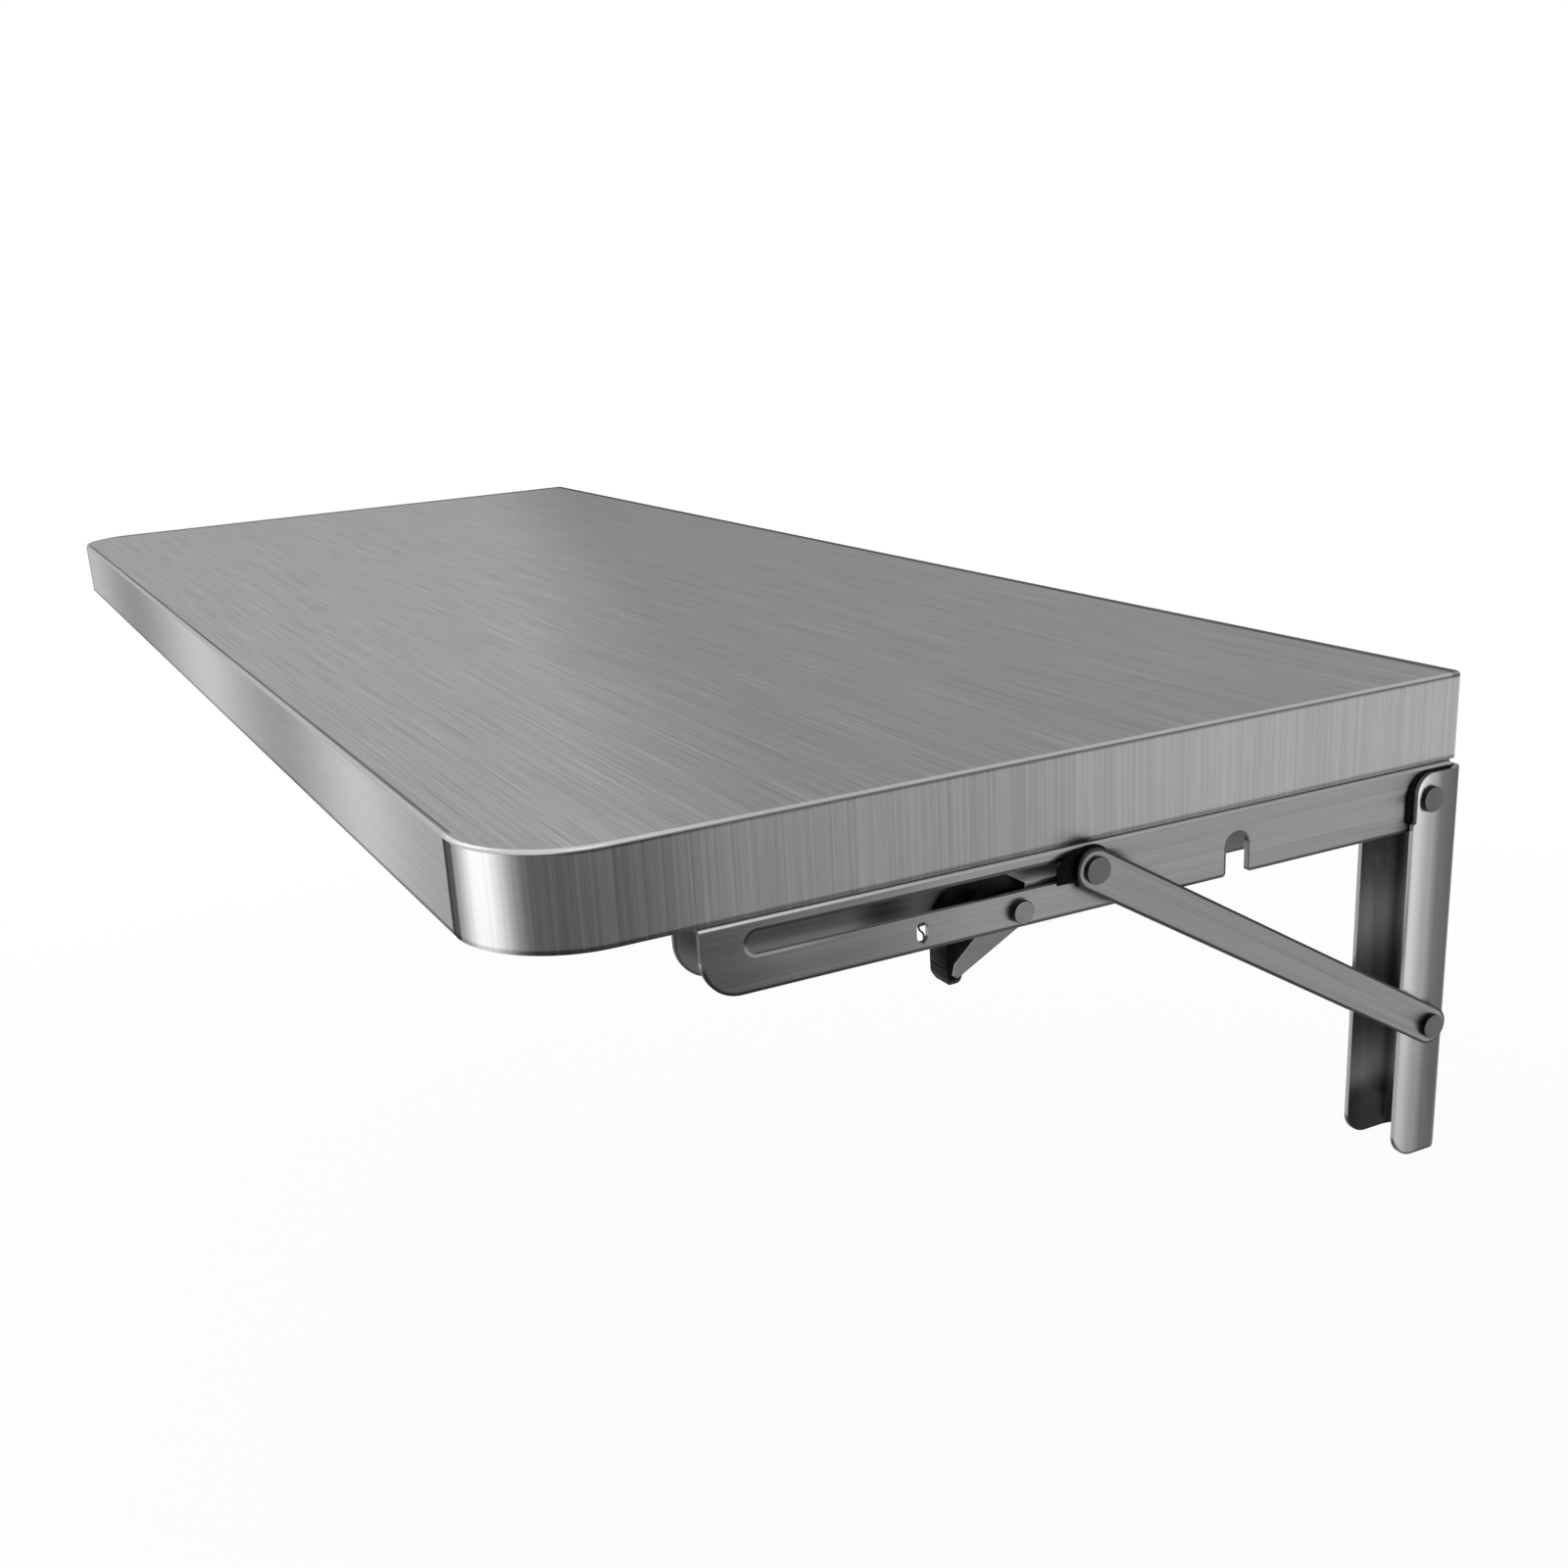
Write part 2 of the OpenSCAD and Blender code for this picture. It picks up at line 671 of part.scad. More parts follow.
// Outline of the grip, from its top round the front and under the tip, back along the steel
grip_outline_shares = [
    [-0.18, 1], [0.55, 1], [0.84, 0.62], [1.02, -0.05], [1.05, -0.35], [1.055, -0.75],
    [1.04, -0.98], [0.99, -1.14], [0.92, -1.18], [0.86, -1.12], [0.85, -0.955], [0.92, -1],
    [1, -0.93], [0.966, -0.73], [0.63, -0.356], [0.42, -0.09], [0.23, 0.73], [-0.18, 0.73]
];
// Outline of the grip's core between the lever's two cheeks
core_outline_shares = [
    [0.85, -0.955], [0.92, -1], [1, -0.93], [0.966, -0.73], [0.63, -0.356], [0.42, -0.09],
    [0.23, 0.73], [0.1, 0.73], [0.1, -0.472]
];
// The stretch of the grip's front that carries the ridges, from top to bottom
ridge_line_shares = [[1.035, -0.2], [1.035, -0.85]];
// Front and lower end of the grip with its ridges
grip_front_share = 1.08;
grip_low_share = 1.18;

module at_lever_pin() {
    translate([0, -lever_pin_reach, -lever_pin_drop]) children();
}

module release_lever() {
    points = [for (p = lever_outline_shares) lever_point(p)];
    web_y = -lever_outline_shares[11][0] * nose_reach;
    color("silver") at_lever_pin() difference() {
        union() {
            both_sides() along_x(lever_half - lever_t, lever_t) union() {
                polygon(points);
                circle(lever_pin_r + 2 * lever_t);
            }
            translate([-lever_half, web_y, lever_top - lever_t])
                cube([lever_w, nose_reach - web_y, lever_t]);
            translate([-lever_half, nose_reach - lever_t, lever_top * nose_low_share])
                cube([lever_w, lever_t, lever_top * (1 - nose_low_share)]);
        }
        cross_rod(lever_pin_r + pin_clear, lever_half + cut, 0, 0);
    }
}

spring_x = lever_half - lever_t + curl_r - 2 * lever_t;
spring_z = lever_top * spring_rise_share;
spring_start = handle_reach * spring_start_share;
spring_bore_l = handle_reach * spring_bore_share;

module lever_grip() {
    ridge_step = (ridge_line_shares[1] - ridge_line_shares[0]) / (ridge_count - 1);
    grip_low = handle_drop * grip_low_share;
    color(black_tone) at_lever_pin() difference() {
        intersection() {
            union() {
                along_x(-lever_half, lever_w) polygon([for (p = grip_outline_shares) lever_point(p)]);
                for (i = [0 : ridge_count - 1])
                    along_x(-lever_half, lever_w)
                        translate(lever_point(ridge_line_shares[0] + i * ridge_step)) circle(ridge_r);
                along_x(-lever_half + lever_t, lever_w - 2 * lever_t)
                    polygon([for (p = core_outline_shares) lever_point(p)]);
            }
            translate([0, 0, -grip_low - cut]) linear_extrude(grip_low + lever_top + 2 * cut)
                round_rect(-lever_half, -handle_reach * grip_front_share, lever_half, nose_reach,
                    [grip_side_r, grip_side_r, lever_t * sharp_share, lever_t * sharp_share]);
            along_y(nose_reach, nose_reach + 2 * handle_reach)
                round_rect(-lever_half, -grip_low, lever_half, lever_top,
                    [grip_end_r, grip_end_r, lever_t * sharp_share, lever_t * sharp_share]);
        }
        translate([spring_x, -spring_start + spring_bore_l, spring_z]) rotate([90, 0, 0])
            cylinder(r = wire_r * spring_bore_r_share, h = spring_bore_l + cut);
        cross_rod(lever_pin_r + 2 * lever_t + fit_clear, lever_half + cut, 0, 0);
    }
}

module lever_pin() {
    color("gray") at_lever_pin() union() {
        cross_rod(lever_pin_r, arm_half, 0, 0);
        both_sides() pin_head(lever_head_r, lever_head_h, arm_half, 0, 0);
    }
}

module lever_spacers() {
    color(black_tone) at_lever_pin() both_sides()
        along_x(lever_half + turn_gap, arm_inner_half - lever_half - turn_gap) difference() {
            circle(lever_pin_r + lever_t);
            circle(lever_pin_r + pin_clear);
        }
}

// Return spring: one wire swept along its path, with the lever pin at the origin
wire_sides = 6;
rings_per_curl = 8;
hook_out = arm_half + 2 * wire_r;

function spring_curls() = [
    for (i = [0 : curl_count * rings_per_curl])
        let (turn = 360 * i / rings_per_curl)
        [
            spring_x + curl_r * sin(turn),
            -spring_start - 2 * wire_r - curl_pitch * i / rings_per_curl,
            spring_z + curl_r * cos(turn)
        ]
];
curl_end_y = -spring_start - 2 * wire_r - curl_pitch * curl_count;
hook_rel_z = hook_z + lever_pin_drop;
spring_path = concat(
    [
        [spring_x, -spring_start + spring_bore_l * bore_leg_share, spring_z],
        [spring_x, -spring_start + wire_r, spring_z],
        [spring_x, -spring_start, spring_z + curl_r * leg_bend_share]
    ],
    spring_curls(),
    [
        [spring_x + curl_r * leg_bend_share, (curl_end_y - hook_reach) / 2,
         spring_z + curl_r * leg_bend_share],
        [(spring_x + arm_half) / 2, -hook_reach, hook_rel_z],
        [arm_half, -hook_reach, hook_rel_z],
        [hook_out, -hook_reach, hook_rel_z - wire_r],
        [hook_out, -hook_reach, hook_rel_z - hook_hole_l / 2 - 2 * wire_r]
    ]
);

function unit(v) = v / norm(v);
function path_tangent(path, i) = unit(path[min(i + 1, len(path) - 1)] - path[max(i - 1, 0)]);
function square_to(v, t) = unit(v - (v * t) * t);

// The first side vector of each ring, carried along the path without twist
function ring_sides(path) = [
    for (
        i = 0, v = square_to([0, 0, 1], path_tangent(path, 0));
        i < len(path);
        i = i + 1, v = i < len(path) ? square_to(v, path_tangent(path, i)) : v
    ) v
];

module swept_wire(path, r) {
    sides = ring_sides(path);
    n = len(path);
    points = [
        for (i = [0 : n - 1])
            let (t = path_tangent(path, i), a = sides[i], b = cross(t, a))
            for (k = [0 : wire_sides - 1])
                path[i] + r * cos(360 * k / wire_sides) * a + r * sin(360 * k / wire_sides) * b
    ];
    walls = [
        for (i = [0 : n - 2])
            for (k = [0 : wire_sides - 1])
                let (p = i * wire_sides + k, q = i * wire_sides + (k + 1) % wire_sides)
                each [[p, q, q + wire_sides], [p, q + wire_sides, p + wire_sides]]
    ];
    first_cap = [for (k = [1 : wire_sides - 2]) [0, k + 1, k]];
    base = (n - 1) * wire_sides;
    last_cap = [for (k = [1 : wire_sides - 2]) [base, base + k, base + k + 1]];
    polyhedron(points = points, faces = [for (f = concat(walls, first_cap, last_cap)) [f[0], f[2], f[1]]]);
}

// Least gap of the spring to itself, between points at least half a curl apart
spring_gap = min([
    for (i = [0 : len(spring_path) - 1])
        for (k = [i + rings_per_curl / 2 : 1 : len(spring_path) - 1])
            norm(spring_path[i] - spring_path[k])
]) - 2 * wire_r;
echo("lever spring least gap to itself", spring_gap);

module lever_spring() {
    color("lightgray") at_lever_pin() swept_wire(spring_path, wire_r);
}

module wall_plate_right() { right_bracket() wall_plate(); }
module friction_liners_right() { right_bracket() friction_liners(); }
module pivot_pin_right() { right_bracket() pivot_pin(); }
module lower_pin_right() { right_bracket() lower_pin(); }
module arm_right() { right_bracket() arm(); }
module arm_screws_right() { right_bracket() arm_screws(); }
module brace_outer_right() { right_bracket() brace_outer(); }
module brace_inner_right() { right_bracket() brace_inner(); }
module brace_rivets_right() { right_bracket() brace_rivets(); }
module slider_shaft_right() { right_bracket() slider_shaft(); }
module slider_bushes_right() { right_bracket() slider_bushes(); }
module release_lever_right() { right_bracket() release_lever(); }
module lever_grip_right() { right_bracket() lever_grip(); }
module lever_pin_right() { right_bracket() lever_pin(); }
module lever_spacers_right() { right_bracket() lever_spacers(); }
module lever_spring_right() { right_bracket() lever_spring(); }
module wall_plate_left() { left_bracket() wall_plate(); }
module friction_liners_left() { left_bracket() friction_liners(); }
module pivot_pin_left() { left_bracket() pivot_pin(); }
module lower_pin_left() { left_bracket() lower_pin(); }
module arm_left() { left_bracket() arm(); }
module arm_screws_left() { left_bracket() arm_screws(); }
module brace_outer_left() { left_bracket() brace_outer(); }
module brace_inner_left() { left_bracket() brace_inner(); }
module brace_rivets_left() { left_bracket() brace_rivets(); }
module slider_shaft_left() { left_bracket() slider_shaft(); }
module slider_bushes_left() { left_bracket() slider_bushes(); }
module release_lever_left() { left_bracket() release_lever(); }
module lever_grip_left() { left_bracket() lever_grip(); }
module lever_pin_left() { left_bracket() lever_pin(); }
module lever_spacers_left() { left_bracket() lever_spacers(); }
module lever_spring_left() { left_bracket() lever_spring(); }

top_sheet();
front_fascia();
side_band_right();
side_band_left();
back_band();
core_board();
underside_panel();
screw_inserts();
wall_plate_right();
friction_liners_right();
pivot_pin_right();
lower_pin_right();
arm_right();
arm_screws_right();
brace_outer_right();
brace_inner_right();
brace_rivets_right();
slider_shaft_right();
slider_bushes_right();
release_lever_right();
lever_grip_right();
lever_pin_right();
lever_spacers_right();
lever_spring_right();
wall_plate_left();
friction_liners_left();
pivot_pin_left();
lower_pin_left();
arm_left();
arm_screws_left();
brace_outer_left();
brace_inner_left();
brace_rivets_left();
slider_shaft_left();
slider_bushes_left();
release_lever_left();
lever_grip_left();
lever_pin_left();
lever_spacers_left();
lever_spring_left();
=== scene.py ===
"""Looks of a wall-hung folding table of stainless steel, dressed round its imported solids."""
import logging
import math
from dataclasses import dataclass
from enum import Enum, IntEnum
from typing import Callable

import bpy
from mathutils import Matrix, Vector


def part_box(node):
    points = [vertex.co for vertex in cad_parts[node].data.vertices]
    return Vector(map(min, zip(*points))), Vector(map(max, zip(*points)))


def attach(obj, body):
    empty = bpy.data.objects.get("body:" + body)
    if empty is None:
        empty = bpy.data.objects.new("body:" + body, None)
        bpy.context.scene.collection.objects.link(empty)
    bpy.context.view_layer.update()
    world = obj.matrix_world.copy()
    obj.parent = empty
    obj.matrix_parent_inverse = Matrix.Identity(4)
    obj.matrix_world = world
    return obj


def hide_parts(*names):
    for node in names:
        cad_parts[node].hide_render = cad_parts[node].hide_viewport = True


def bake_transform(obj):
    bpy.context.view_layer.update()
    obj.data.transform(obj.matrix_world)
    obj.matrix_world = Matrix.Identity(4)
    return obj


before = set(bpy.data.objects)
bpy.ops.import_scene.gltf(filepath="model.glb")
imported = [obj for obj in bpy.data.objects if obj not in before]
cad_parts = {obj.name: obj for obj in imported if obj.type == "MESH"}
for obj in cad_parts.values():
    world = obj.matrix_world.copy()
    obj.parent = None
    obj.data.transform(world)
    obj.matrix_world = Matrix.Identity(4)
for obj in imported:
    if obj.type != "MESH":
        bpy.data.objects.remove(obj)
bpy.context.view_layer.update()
log = logging.getLogger("folding_table")

MM = 0.001
SIDES = ("right", "left")
WHITE = (1.0, 1.0, 1.0)
WARM_STEEL = (1.0, 0.995, 0.985)
EYE_POWER = 2.2

Span = tuple[float, float]
Tint = tuple[float, float, float]
Stops = tuple[Span, ...]


class Grain(Enum):
    """The way in which a steel surface is brushed."""

    ALONG_X = "x"
    ALONG_Y = "y"
    ALONG_Z = "z"
    SLANTED = "slanted"


# Materials


class Num:
    """A number inside a material, so that shader sums read as plain sums."""

    def __init__(self, graph: "Graph", socket: bpy.types.NodeSocket) -> None:
        """Wraps an output socket.

        Args:
            graph: the material that the socket belongs to.
            socket: the output socket that carries the number.
        """
        self.graph = graph
        self.socket = socket

    def __add__(self, other: "Value") -> "Num":
        """self + other."""
        return self.graph.math("ADD", self, other)

    def __radd__(self, other: "Value") -> "Num":
        """other + self."""
        return self.graph.math("ADD", other, self)

    def __sub__(self, other: "Value") -> "Num":
        """self - other."""
        return self.graph.math("SUBTRACT", self, other)

    def __rsub__(self, other: "Value") -> "Num":
        """other - self."""
        return self.graph.math("SUBTRACT", other, self)

    def __mul__(self, other: "Value") -> "Num":
        """self * other."""
        return self.graph.math("MULTIPLY", self, other)

    def __rmul__(self, other: "Value") -> "Num":
        """other * self."""
        return self.graph.math("MULTIPLY", other, self)

    def __pow__(self, other: "Value") -> "Num":
        """self ** other."""
        return self.graph.math("POWER", self, other)

    def __rpow__(self, other: "Value") -> "Num":
        """other ** self."""
        return self.graph.math("POWER", other, self)

    def __abs__(self) -> "Num":
        """abs(self)."""
        return self.graph.math("ABSOLUTE", self)

    def at_least(self, other: "Value") -> "Num":
        """The larger of self and other."""
        return self.graph.math("MAXIMUM", self, other)

    def at_most(self, other: "Value") -> "Num":
        """The smaller of self and other."""
        return self.graph.math("MINIMUM", self, other)

    def rise(self, low: float, high: float) -> "Num":
        """A smooth step from 0 at low to 1 at high.

        Args:
            low: the value at which the step starts.
            high: the value at which the step is complete; it may be the lower one.

        Returns:
            The step, between 0 and 1.
        """
        flip = high < low
        node = self.graph.make(
            "ShaderNodeMapRange",
            {"interpolation_type": "SMOOTHSTEP", "clamp": True},
            {
                "Value": self,
                "From Min": min(low, high),
                "From Max": max(low, high),
                "To Min": 1.0 if flip else 0.0,
                "To Max": 0.0 if flip else 1.0,
            },
        )
        return Num(self.graph, node.outputs["Result"])

    def fade(self, base: float, start: float, end: float) -> "Num":
        """A smooth step of a distance, from 0 to 1.

        Args:
            base: the place that the step is measured from, in metres.
            start: where the step starts, in millimetres from base.
            end: where it is complete, in millimetres from base.

        Returns:
            The step, between 0 and 1.
        """
        return self.rise(base + start * MM, base + end * MM)

    def stripe(self, low: float, high: float, soft: float = 0.4) -> "Num":
        """1 from low to high, with soft margins inside, all in millimetres."""
        return self.fade(0.0, low, low + soft) * self.fade(0.0, high, high - soft)

    def hypot(self, other: "Num") -> "Num":
        """The length of the vector of self and other."""
        return (self * self + other * other) ** 0.5

    def ramp(self, stops: Stops, base: float = 0.0, unit: float = 1.0) -> "Num":
        """Eases through a few values.

        Args:
            stops: pairs of a place and the value there, in rising order of the places.
            base: the position of self that places are measured from.
            unit: the length of a place of 1.

        Returns:
            The value between the stops.
        """
        low, high = stops[0][0], stops[-1][0]
        ends = {"From Min": base + low * unit, "From Max": base + high * unit}
        span = self.graph.make("ShaderNodeMapRange", {"clamp": True}, {"Value": self, **ends})
        shares = [((place - low) / (high - low), value) for place, value in stops]
        node = self.graph.make("ShaderNodeValToRGB", {"stops": shares}, {"Fac": span.outputs["Result"]})
        return Num(self.graph, node.outputs["Color"])


Value = Num | float


class Graph:
    """The nodes of a material or of the world."""

    def __init__(self, tree: bpy.types.NodeTree) -> None:
        """Starts with an empty tree.

        Args:
            tree: the node tree to fill.
        """
        self.tree = tree
        tree.nodes.clear()

    def make(self, kind: str, settings: dict, inputs: dict) -> bpy.types.Node:
        """Adds any node.

        Args:
            kind: the node's type.
            settings: the node's own settings, which are set first; stops are those of a ramp.
            inputs: input sockets by name or number, each with a value or a link.

        Returns:
            The new node.
        """
        node = self.tree.nodes.new(kind)
        for key, value in settings.items():
            if key == "stops":
                self.set_stops(node.color_ramp, value)
            else:
                setattr(node, key, value)
        for key, value in inputs.items():
            self.join(node, key, value)
        return node

    @staticmethod
    def set_stops(ramp: bpy.types.ColorRamp, stops: list[Span]) -> None:
        """Sets the grey stops of an eased ramp, each a share of its length and a value.

        Args:
            ramp: the ramp.
            stops: the stops, in rising order.
        """
        ramp.interpolation = "EASE"
        while len(ramp.elements) < len(stops):
            ramp.elements.new(0.5)
        for element, (share, _) in zip(ramp.elements, stops):
            element.position = share
        for element, (_, value) in zip(ramp.elements, stops):
            element.color = (value, value, value, 1.0)

    def join(self, node: bpy.types.Node, key: str | int, value: object) -> None:
        """Links a value to an input socket of a node, or sets it there.

        Args:
            node: the node.
            key: the socket's name or number.
            value: a number, colour, socket or sum.
        """
        if isinstance(value, Num):
            value = value.socket
        if isinstance(value, bpy.types.NodeSocket):
            self.tree.links.new(value, node.inputs[key])
        else:
            node.inputs[key].default_value = value

    def math(self, operation: str, *values: Value) -> Num:
        """Adds a Math node on one or two values."""
        node = self.make("ShaderNodeMath", {"operation": operation}, dict(enumerate(values)))
        return Num(self, node.outputs[0])

    def seen(self) -> Num:
        """1 for what the camera sees, also in reflections and through glass, else 0.

        Returns:
            The share of such rays, 0 or 1.
        """
        path = self.make("ShaderNodeLightPath", {}, {})
        camera, glossy, through = (
            Num(self, path.outputs[f"Is {ray} Ray"]) for ray in ("Camera", "Glossy", "Transmission")
        )
        return camera.at_least(glossy).at_least(through)


class Coat(Graph):
    """The nodes of one material, round its shader."""

    def __init__(self, name: str) -> None:
        """Makes a material with its shader.

        Args:
            name: the material's name.
        """
        self.material = bpy.data.materials.new(name)
        self.material.use_nodes = True
        super().__init__(self.material.node_tree)
        self.shader = self.make("ShaderNodeBsdfPrincipled", {}, {})
        self.output = self.make("ShaderNodeOutputMaterial", {}, {"Surface": self.shader.outputs["BSDF"]})

    def axes(self, source: str) -> tuple[Num, Num, Num]:
        """Splits an output of the Texture Coordinate node into its three axes.

        Args:
            source: Object for the point, or Normal for the way in which the surface faces.

        Returns:
            The three axes.
        """
        where = self.make("ShaderNodeTexCoord", {}, {})
        split = self.make("ShaderNodeSeparateXYZ", {}, {"Vector": where.outputs[source]})
        return tuple(Num(self, split.outputs[axis]) for axis in "XYZ")

    def place(self) -> tuple[Num, Num, Num]:
        """The point on the piece, in metres."""
        return self.axes("Object")

    def facing(self) -> tuple[Num, Num, Num]:
        """The direction in which the surface faces."""
        return self.axes("Normal")

    def noise(self, x: Value, y: Value, z: Value, detail: float, rough: float) -> Num:
        """Noise at a point whose axes are already scaled.

        Args:
            x: first coordinate, in feature sizes.
            y: second coordinate.
            z: third coordinate.
            detail: number of finer layers.
            rough: share of each finer layer.

        Returns:
            A value that swings about 0, mostly within half of one.
        """
        point = self.make("ShaderNodeCombineXYZ", {}, {0: x, 1: y, 2: z})
        node = self.make(
            "ShaderNodeTexNoise",
            {"noise_dimensions": "3D"},
            {"Vector": point.outputs[0], "Scale": 1.0, "Detail": detail, "Roughness": rough},
        )
        return (Num(self, node.outputs["Fac"]) - 0.5) * 2.0

    def grit(self, pitch: float, detail: float, rough: float) -> Num:
        """Noise that is alike in all directions, with pitch features a metre."""
        x, y, z = self.place()
        return self.noise(x * pitch, y * pitch, z * pitch, detail, rough)

    def paint(self, tone: Value, tint: Tint) -> None:
        """Sets the base colour to a tone as the eye sees it, times a tint.

        Args:
            tone: lightness from 0 to 1, as it shows on a screen.
            tint: share of red, green and blue.
        """
        if isinstance(tone, Num):
            light = tone.at_least(0.0) ** EYE_POWER
            shares = {channel: light * share for channel, share in enumerate(tint)}
            self.feed("Base Color", self.make("ShaderNodeCombineColor", {}, shares).outputs[0])
        else:
            self.feed("Base Color", [tone ** EYE_POWER * share for share in tint] + [1.0])

    def feed(self, socket: str, value: object) -> None:
        """Sets or links one socket of the shader."""
        self.join(self.shader, socket, value)

    def emboss(self, height: Num, depth: float, strength: float) -> None:
        """Raises the surface by height times depth.

        Args:
            height: the relief.
            depth: height of one unit, in metres.
            strength: how much of the relief shows.
        """
        bump = {"Strength": strength, "Distance": depth, "Height": height}
        self.feed("Normal", self.make("ShaderNodeBump", {}, bump).outputs["Normal"])


ToneRule = Callable[[Coat, Num, Num, Num], Num]


@dataclass(frozen=True)
class GrainLayer:
    """One layer of a brushed grain, in features a metre."""

    along: float
    across: float
    detail: float
    rough: float


BROAD_LAYER = GrainLayer(2.0, 110.0, 2.0, 0.6)
MEDIUM_LAYER = GrainLayer(6.0, 550.0, 2.0, 0.6)
HAIR_LAYER = GrainLayer(11.0, 1700.0, 1.0, 0.5)
# Slope of a brace bar: its rise and its reach off the wall as shares of its length
BRACE_RISE = 0.516
BRACE_RUN = 0.857
# Height of the surface normal at which a face begins to count as one, and at which it fully does
FACES_DOWN = (-0.2, -0.95)
FACES_UP = (0.93, 0.985)


@dataclass(frozen=True)
class BrushedSteel:
    """Stainless steel with a brushed grain."""

    name: str
    tone: float = 0.60
    grain: Grain = Grain.ALONG_X
    tint: Tint = WARM_STEEL
    streak: float = 0.03
    fine: float = 0.03
    roughness: float = 0.34
    # Share of painted shade on faces that look down
    underside: float = 0.16
    metallic: float = 1.0
    specular: float = 0.5
    wide: float = 0.3
    relief: float = 0.01 * MM
    calm_rim: bool = False
    rule: ToneRule | None = None
    metal_rule: ToneRule | None = None

    def build(self) -> bpy.types.Material:
        """Makes the material.

        Returns:
            The new material.
        """
        g = Coat(self.name)
        place = g.place()
        broad = self.layer(g, BROAD_LAYER) * self.wide
        medium = self.layer(g, MEDIUM_LAYER)
        hair = self.layer(g, HAIR_LAYER)
        up = g.facing()[2]
        lines = (broad + medium) * self.streak + hair * self.fine
        if self.calm_rim:
            lines = lines * up.rise(*FACES_UP)
        # The tone rule carries each surface's painted reflection, highlight and shade
        tone = self.rule(g, *place) if self.rule else self.tone
        # Faces that look down get painted shade
        g.paint((tone + lines) * (1.0 - up.rise(*FACES_DOWN) * self.underside), self.tint)
        metal = self.metal_rule(g, *place) if self.metal_rule else 1.0
        g.feed("Metallic", metal * self.metallic)
        g.feed("Specular IOR Level", self.specular)
        g.feed("Roughness", hair * 0.05 + medium * 0.04 + self.roughness)
        g.emboss(hair + medium, self.relief, 0.35)
        return g.material

    def layer(self, g: Coat, layer: GrainLayer) -> Num:
        """One layer of lines along the grain.

        Args:
            g: the material.
            layer: the layer.

        Returns:
            Noise drawn out along the grain.
        """
        x, y, z = g.place()
        along, across, third = {
            Grain.ALONG_X: lambda: (x, y, z),
            Grain.ALONG_Y: lambda: (y, z, x),
            Grain.ALONG_Z: lambda: (z, y + x, x - y),
            Grain.SLANTED: lambda: (z * BRACE_RISE - y * BRACE_RUN, z * BRACE_RUN + y * BRACE_RISE, x),
        }[self.grain]()
        return g.noise(
            along * layer.along, across * layer.across, third * layer.across, layer.detail, layer.rough
        )


@dataclass(frozen=True)
class TurnedPin:
    """Satin pin steel, turned in rings, with painted shade on its side wall."""

    name: str
    tone: float = 0.42
    wall_shade_tone: float = 0.12

    def build(self) -> bpy.types.Material:
        """Makes the material.

        Returns:
            The new material.
        """
        g = Coat(self.name)
        cloud = g.grit(300.0, 3.0, 0.6)
        grit = g.grit(2600.0, 1.0, 0.5)
        # Painted shade on the side wall of each head, the end face keeps the lighter tone
        end = abs(g.facing()[0]).rise(0.55, 0.9)
        tone = end * (self.tone - self.wall_shade_tone) + self.wall_shade_tone
        g.paint(tone + cloud * 0.03 + grit * 0.02, WARM_STEEL)
        g.feed("Metallic", 1.0)
        g.feed("Roughness", cloud * 0.05 + 0.38)
        g.emboss(grit, 0.01 * MM, 0.3)
        return g.material


@dataclass(frozen=True)
class MouldedPlastic:
    """Satin black plastic with a fine moulded grain."""

    name: str
    tone: float = 0.03
    roughness: float = 0.45

    def build(self) -> bpy.types.Material:
        """Makes the material.

        Returns:
            The new material.
        """
        g = Coat(self.name)
        cloud = g.grit(120.0, 2.0, 0.5)
        grit = g.grit(1900.0, 2.0, 0.6)
        g.paint(cloud * 0.012 + grit * 0.008 + self.tone, (1.0, 1.0, 1.02))
        g.feed("Roughness", cloud * 0.06 + grit * 0.04 + self.roughness)
        g.feed("Specular IOR Level", 0.06)
        g.emboss(grit, 0.03 * MM, 0.3)
        return g.material


@dataclass(frozen=True)
class DarkWire:
    """Blackened spring wire."""

    name: str

    def build(self) -> bpy.types.Material:
        """Makes the material.

        Returns:
            The new material.
        """
        g = Coat(self.name)
        cloud = g.grit(700.0, 2.0, 0.5)
        g.paint(cloud * 0.04 + 0.2, (1.0, 0.995, 0.98))
        g.feed("Metallic", 1.0)
        g.feed("Roughness", cloud * 0.06 + 0.26)
        return g.material


@dataclass(frozen=True)
class RawBoard:
    """The tabletop's core of pressed board."""

    name: str

    def build(self) -> bpy.types.Material:
        """Makes the material.

        Returns:
            The new material.
        """
        g = Coat(self.name)
        x, y, z = g.place()
        chips = g.noise(x * 260.0, y * 380.0, z * 500.0, 3.0, 0.65)
        fibre = g.noise(x * 40.0, y * 1500.0, z * 1500.0, 2.0, 0.5)
        g.paint(chips * 0.08 + fibre * 0.04 + 0.36, (1.0, 0.86, 0.7))
        g.feed("Roughness", chips * 0.05 + 0.75)
        g.emboss(chips, 0.08 * MM, 0.5)
        return g.material


@dataclass(frozen=True)
class TurnedBrass:
    """Brass of the threaded inserts."""

    name: str

    def build(self) -> bpy.types.Material:
        """Makes the material.

        Returns:
            The new material.
        """
        g = Coat(self.name)
        x, y, z = g.place()
        rings = g.noise(x * 200.0, y * 200.0, z * 3000.0, 1.0, 0.5)
        g.paint(rings * 0.05 + 0.7, (1.0, 0.82, 0.48))
        g.feed("Metallic", 1.0)
        g.feed("Roughness", rings * 0.05 + 0.33)
        return g.material
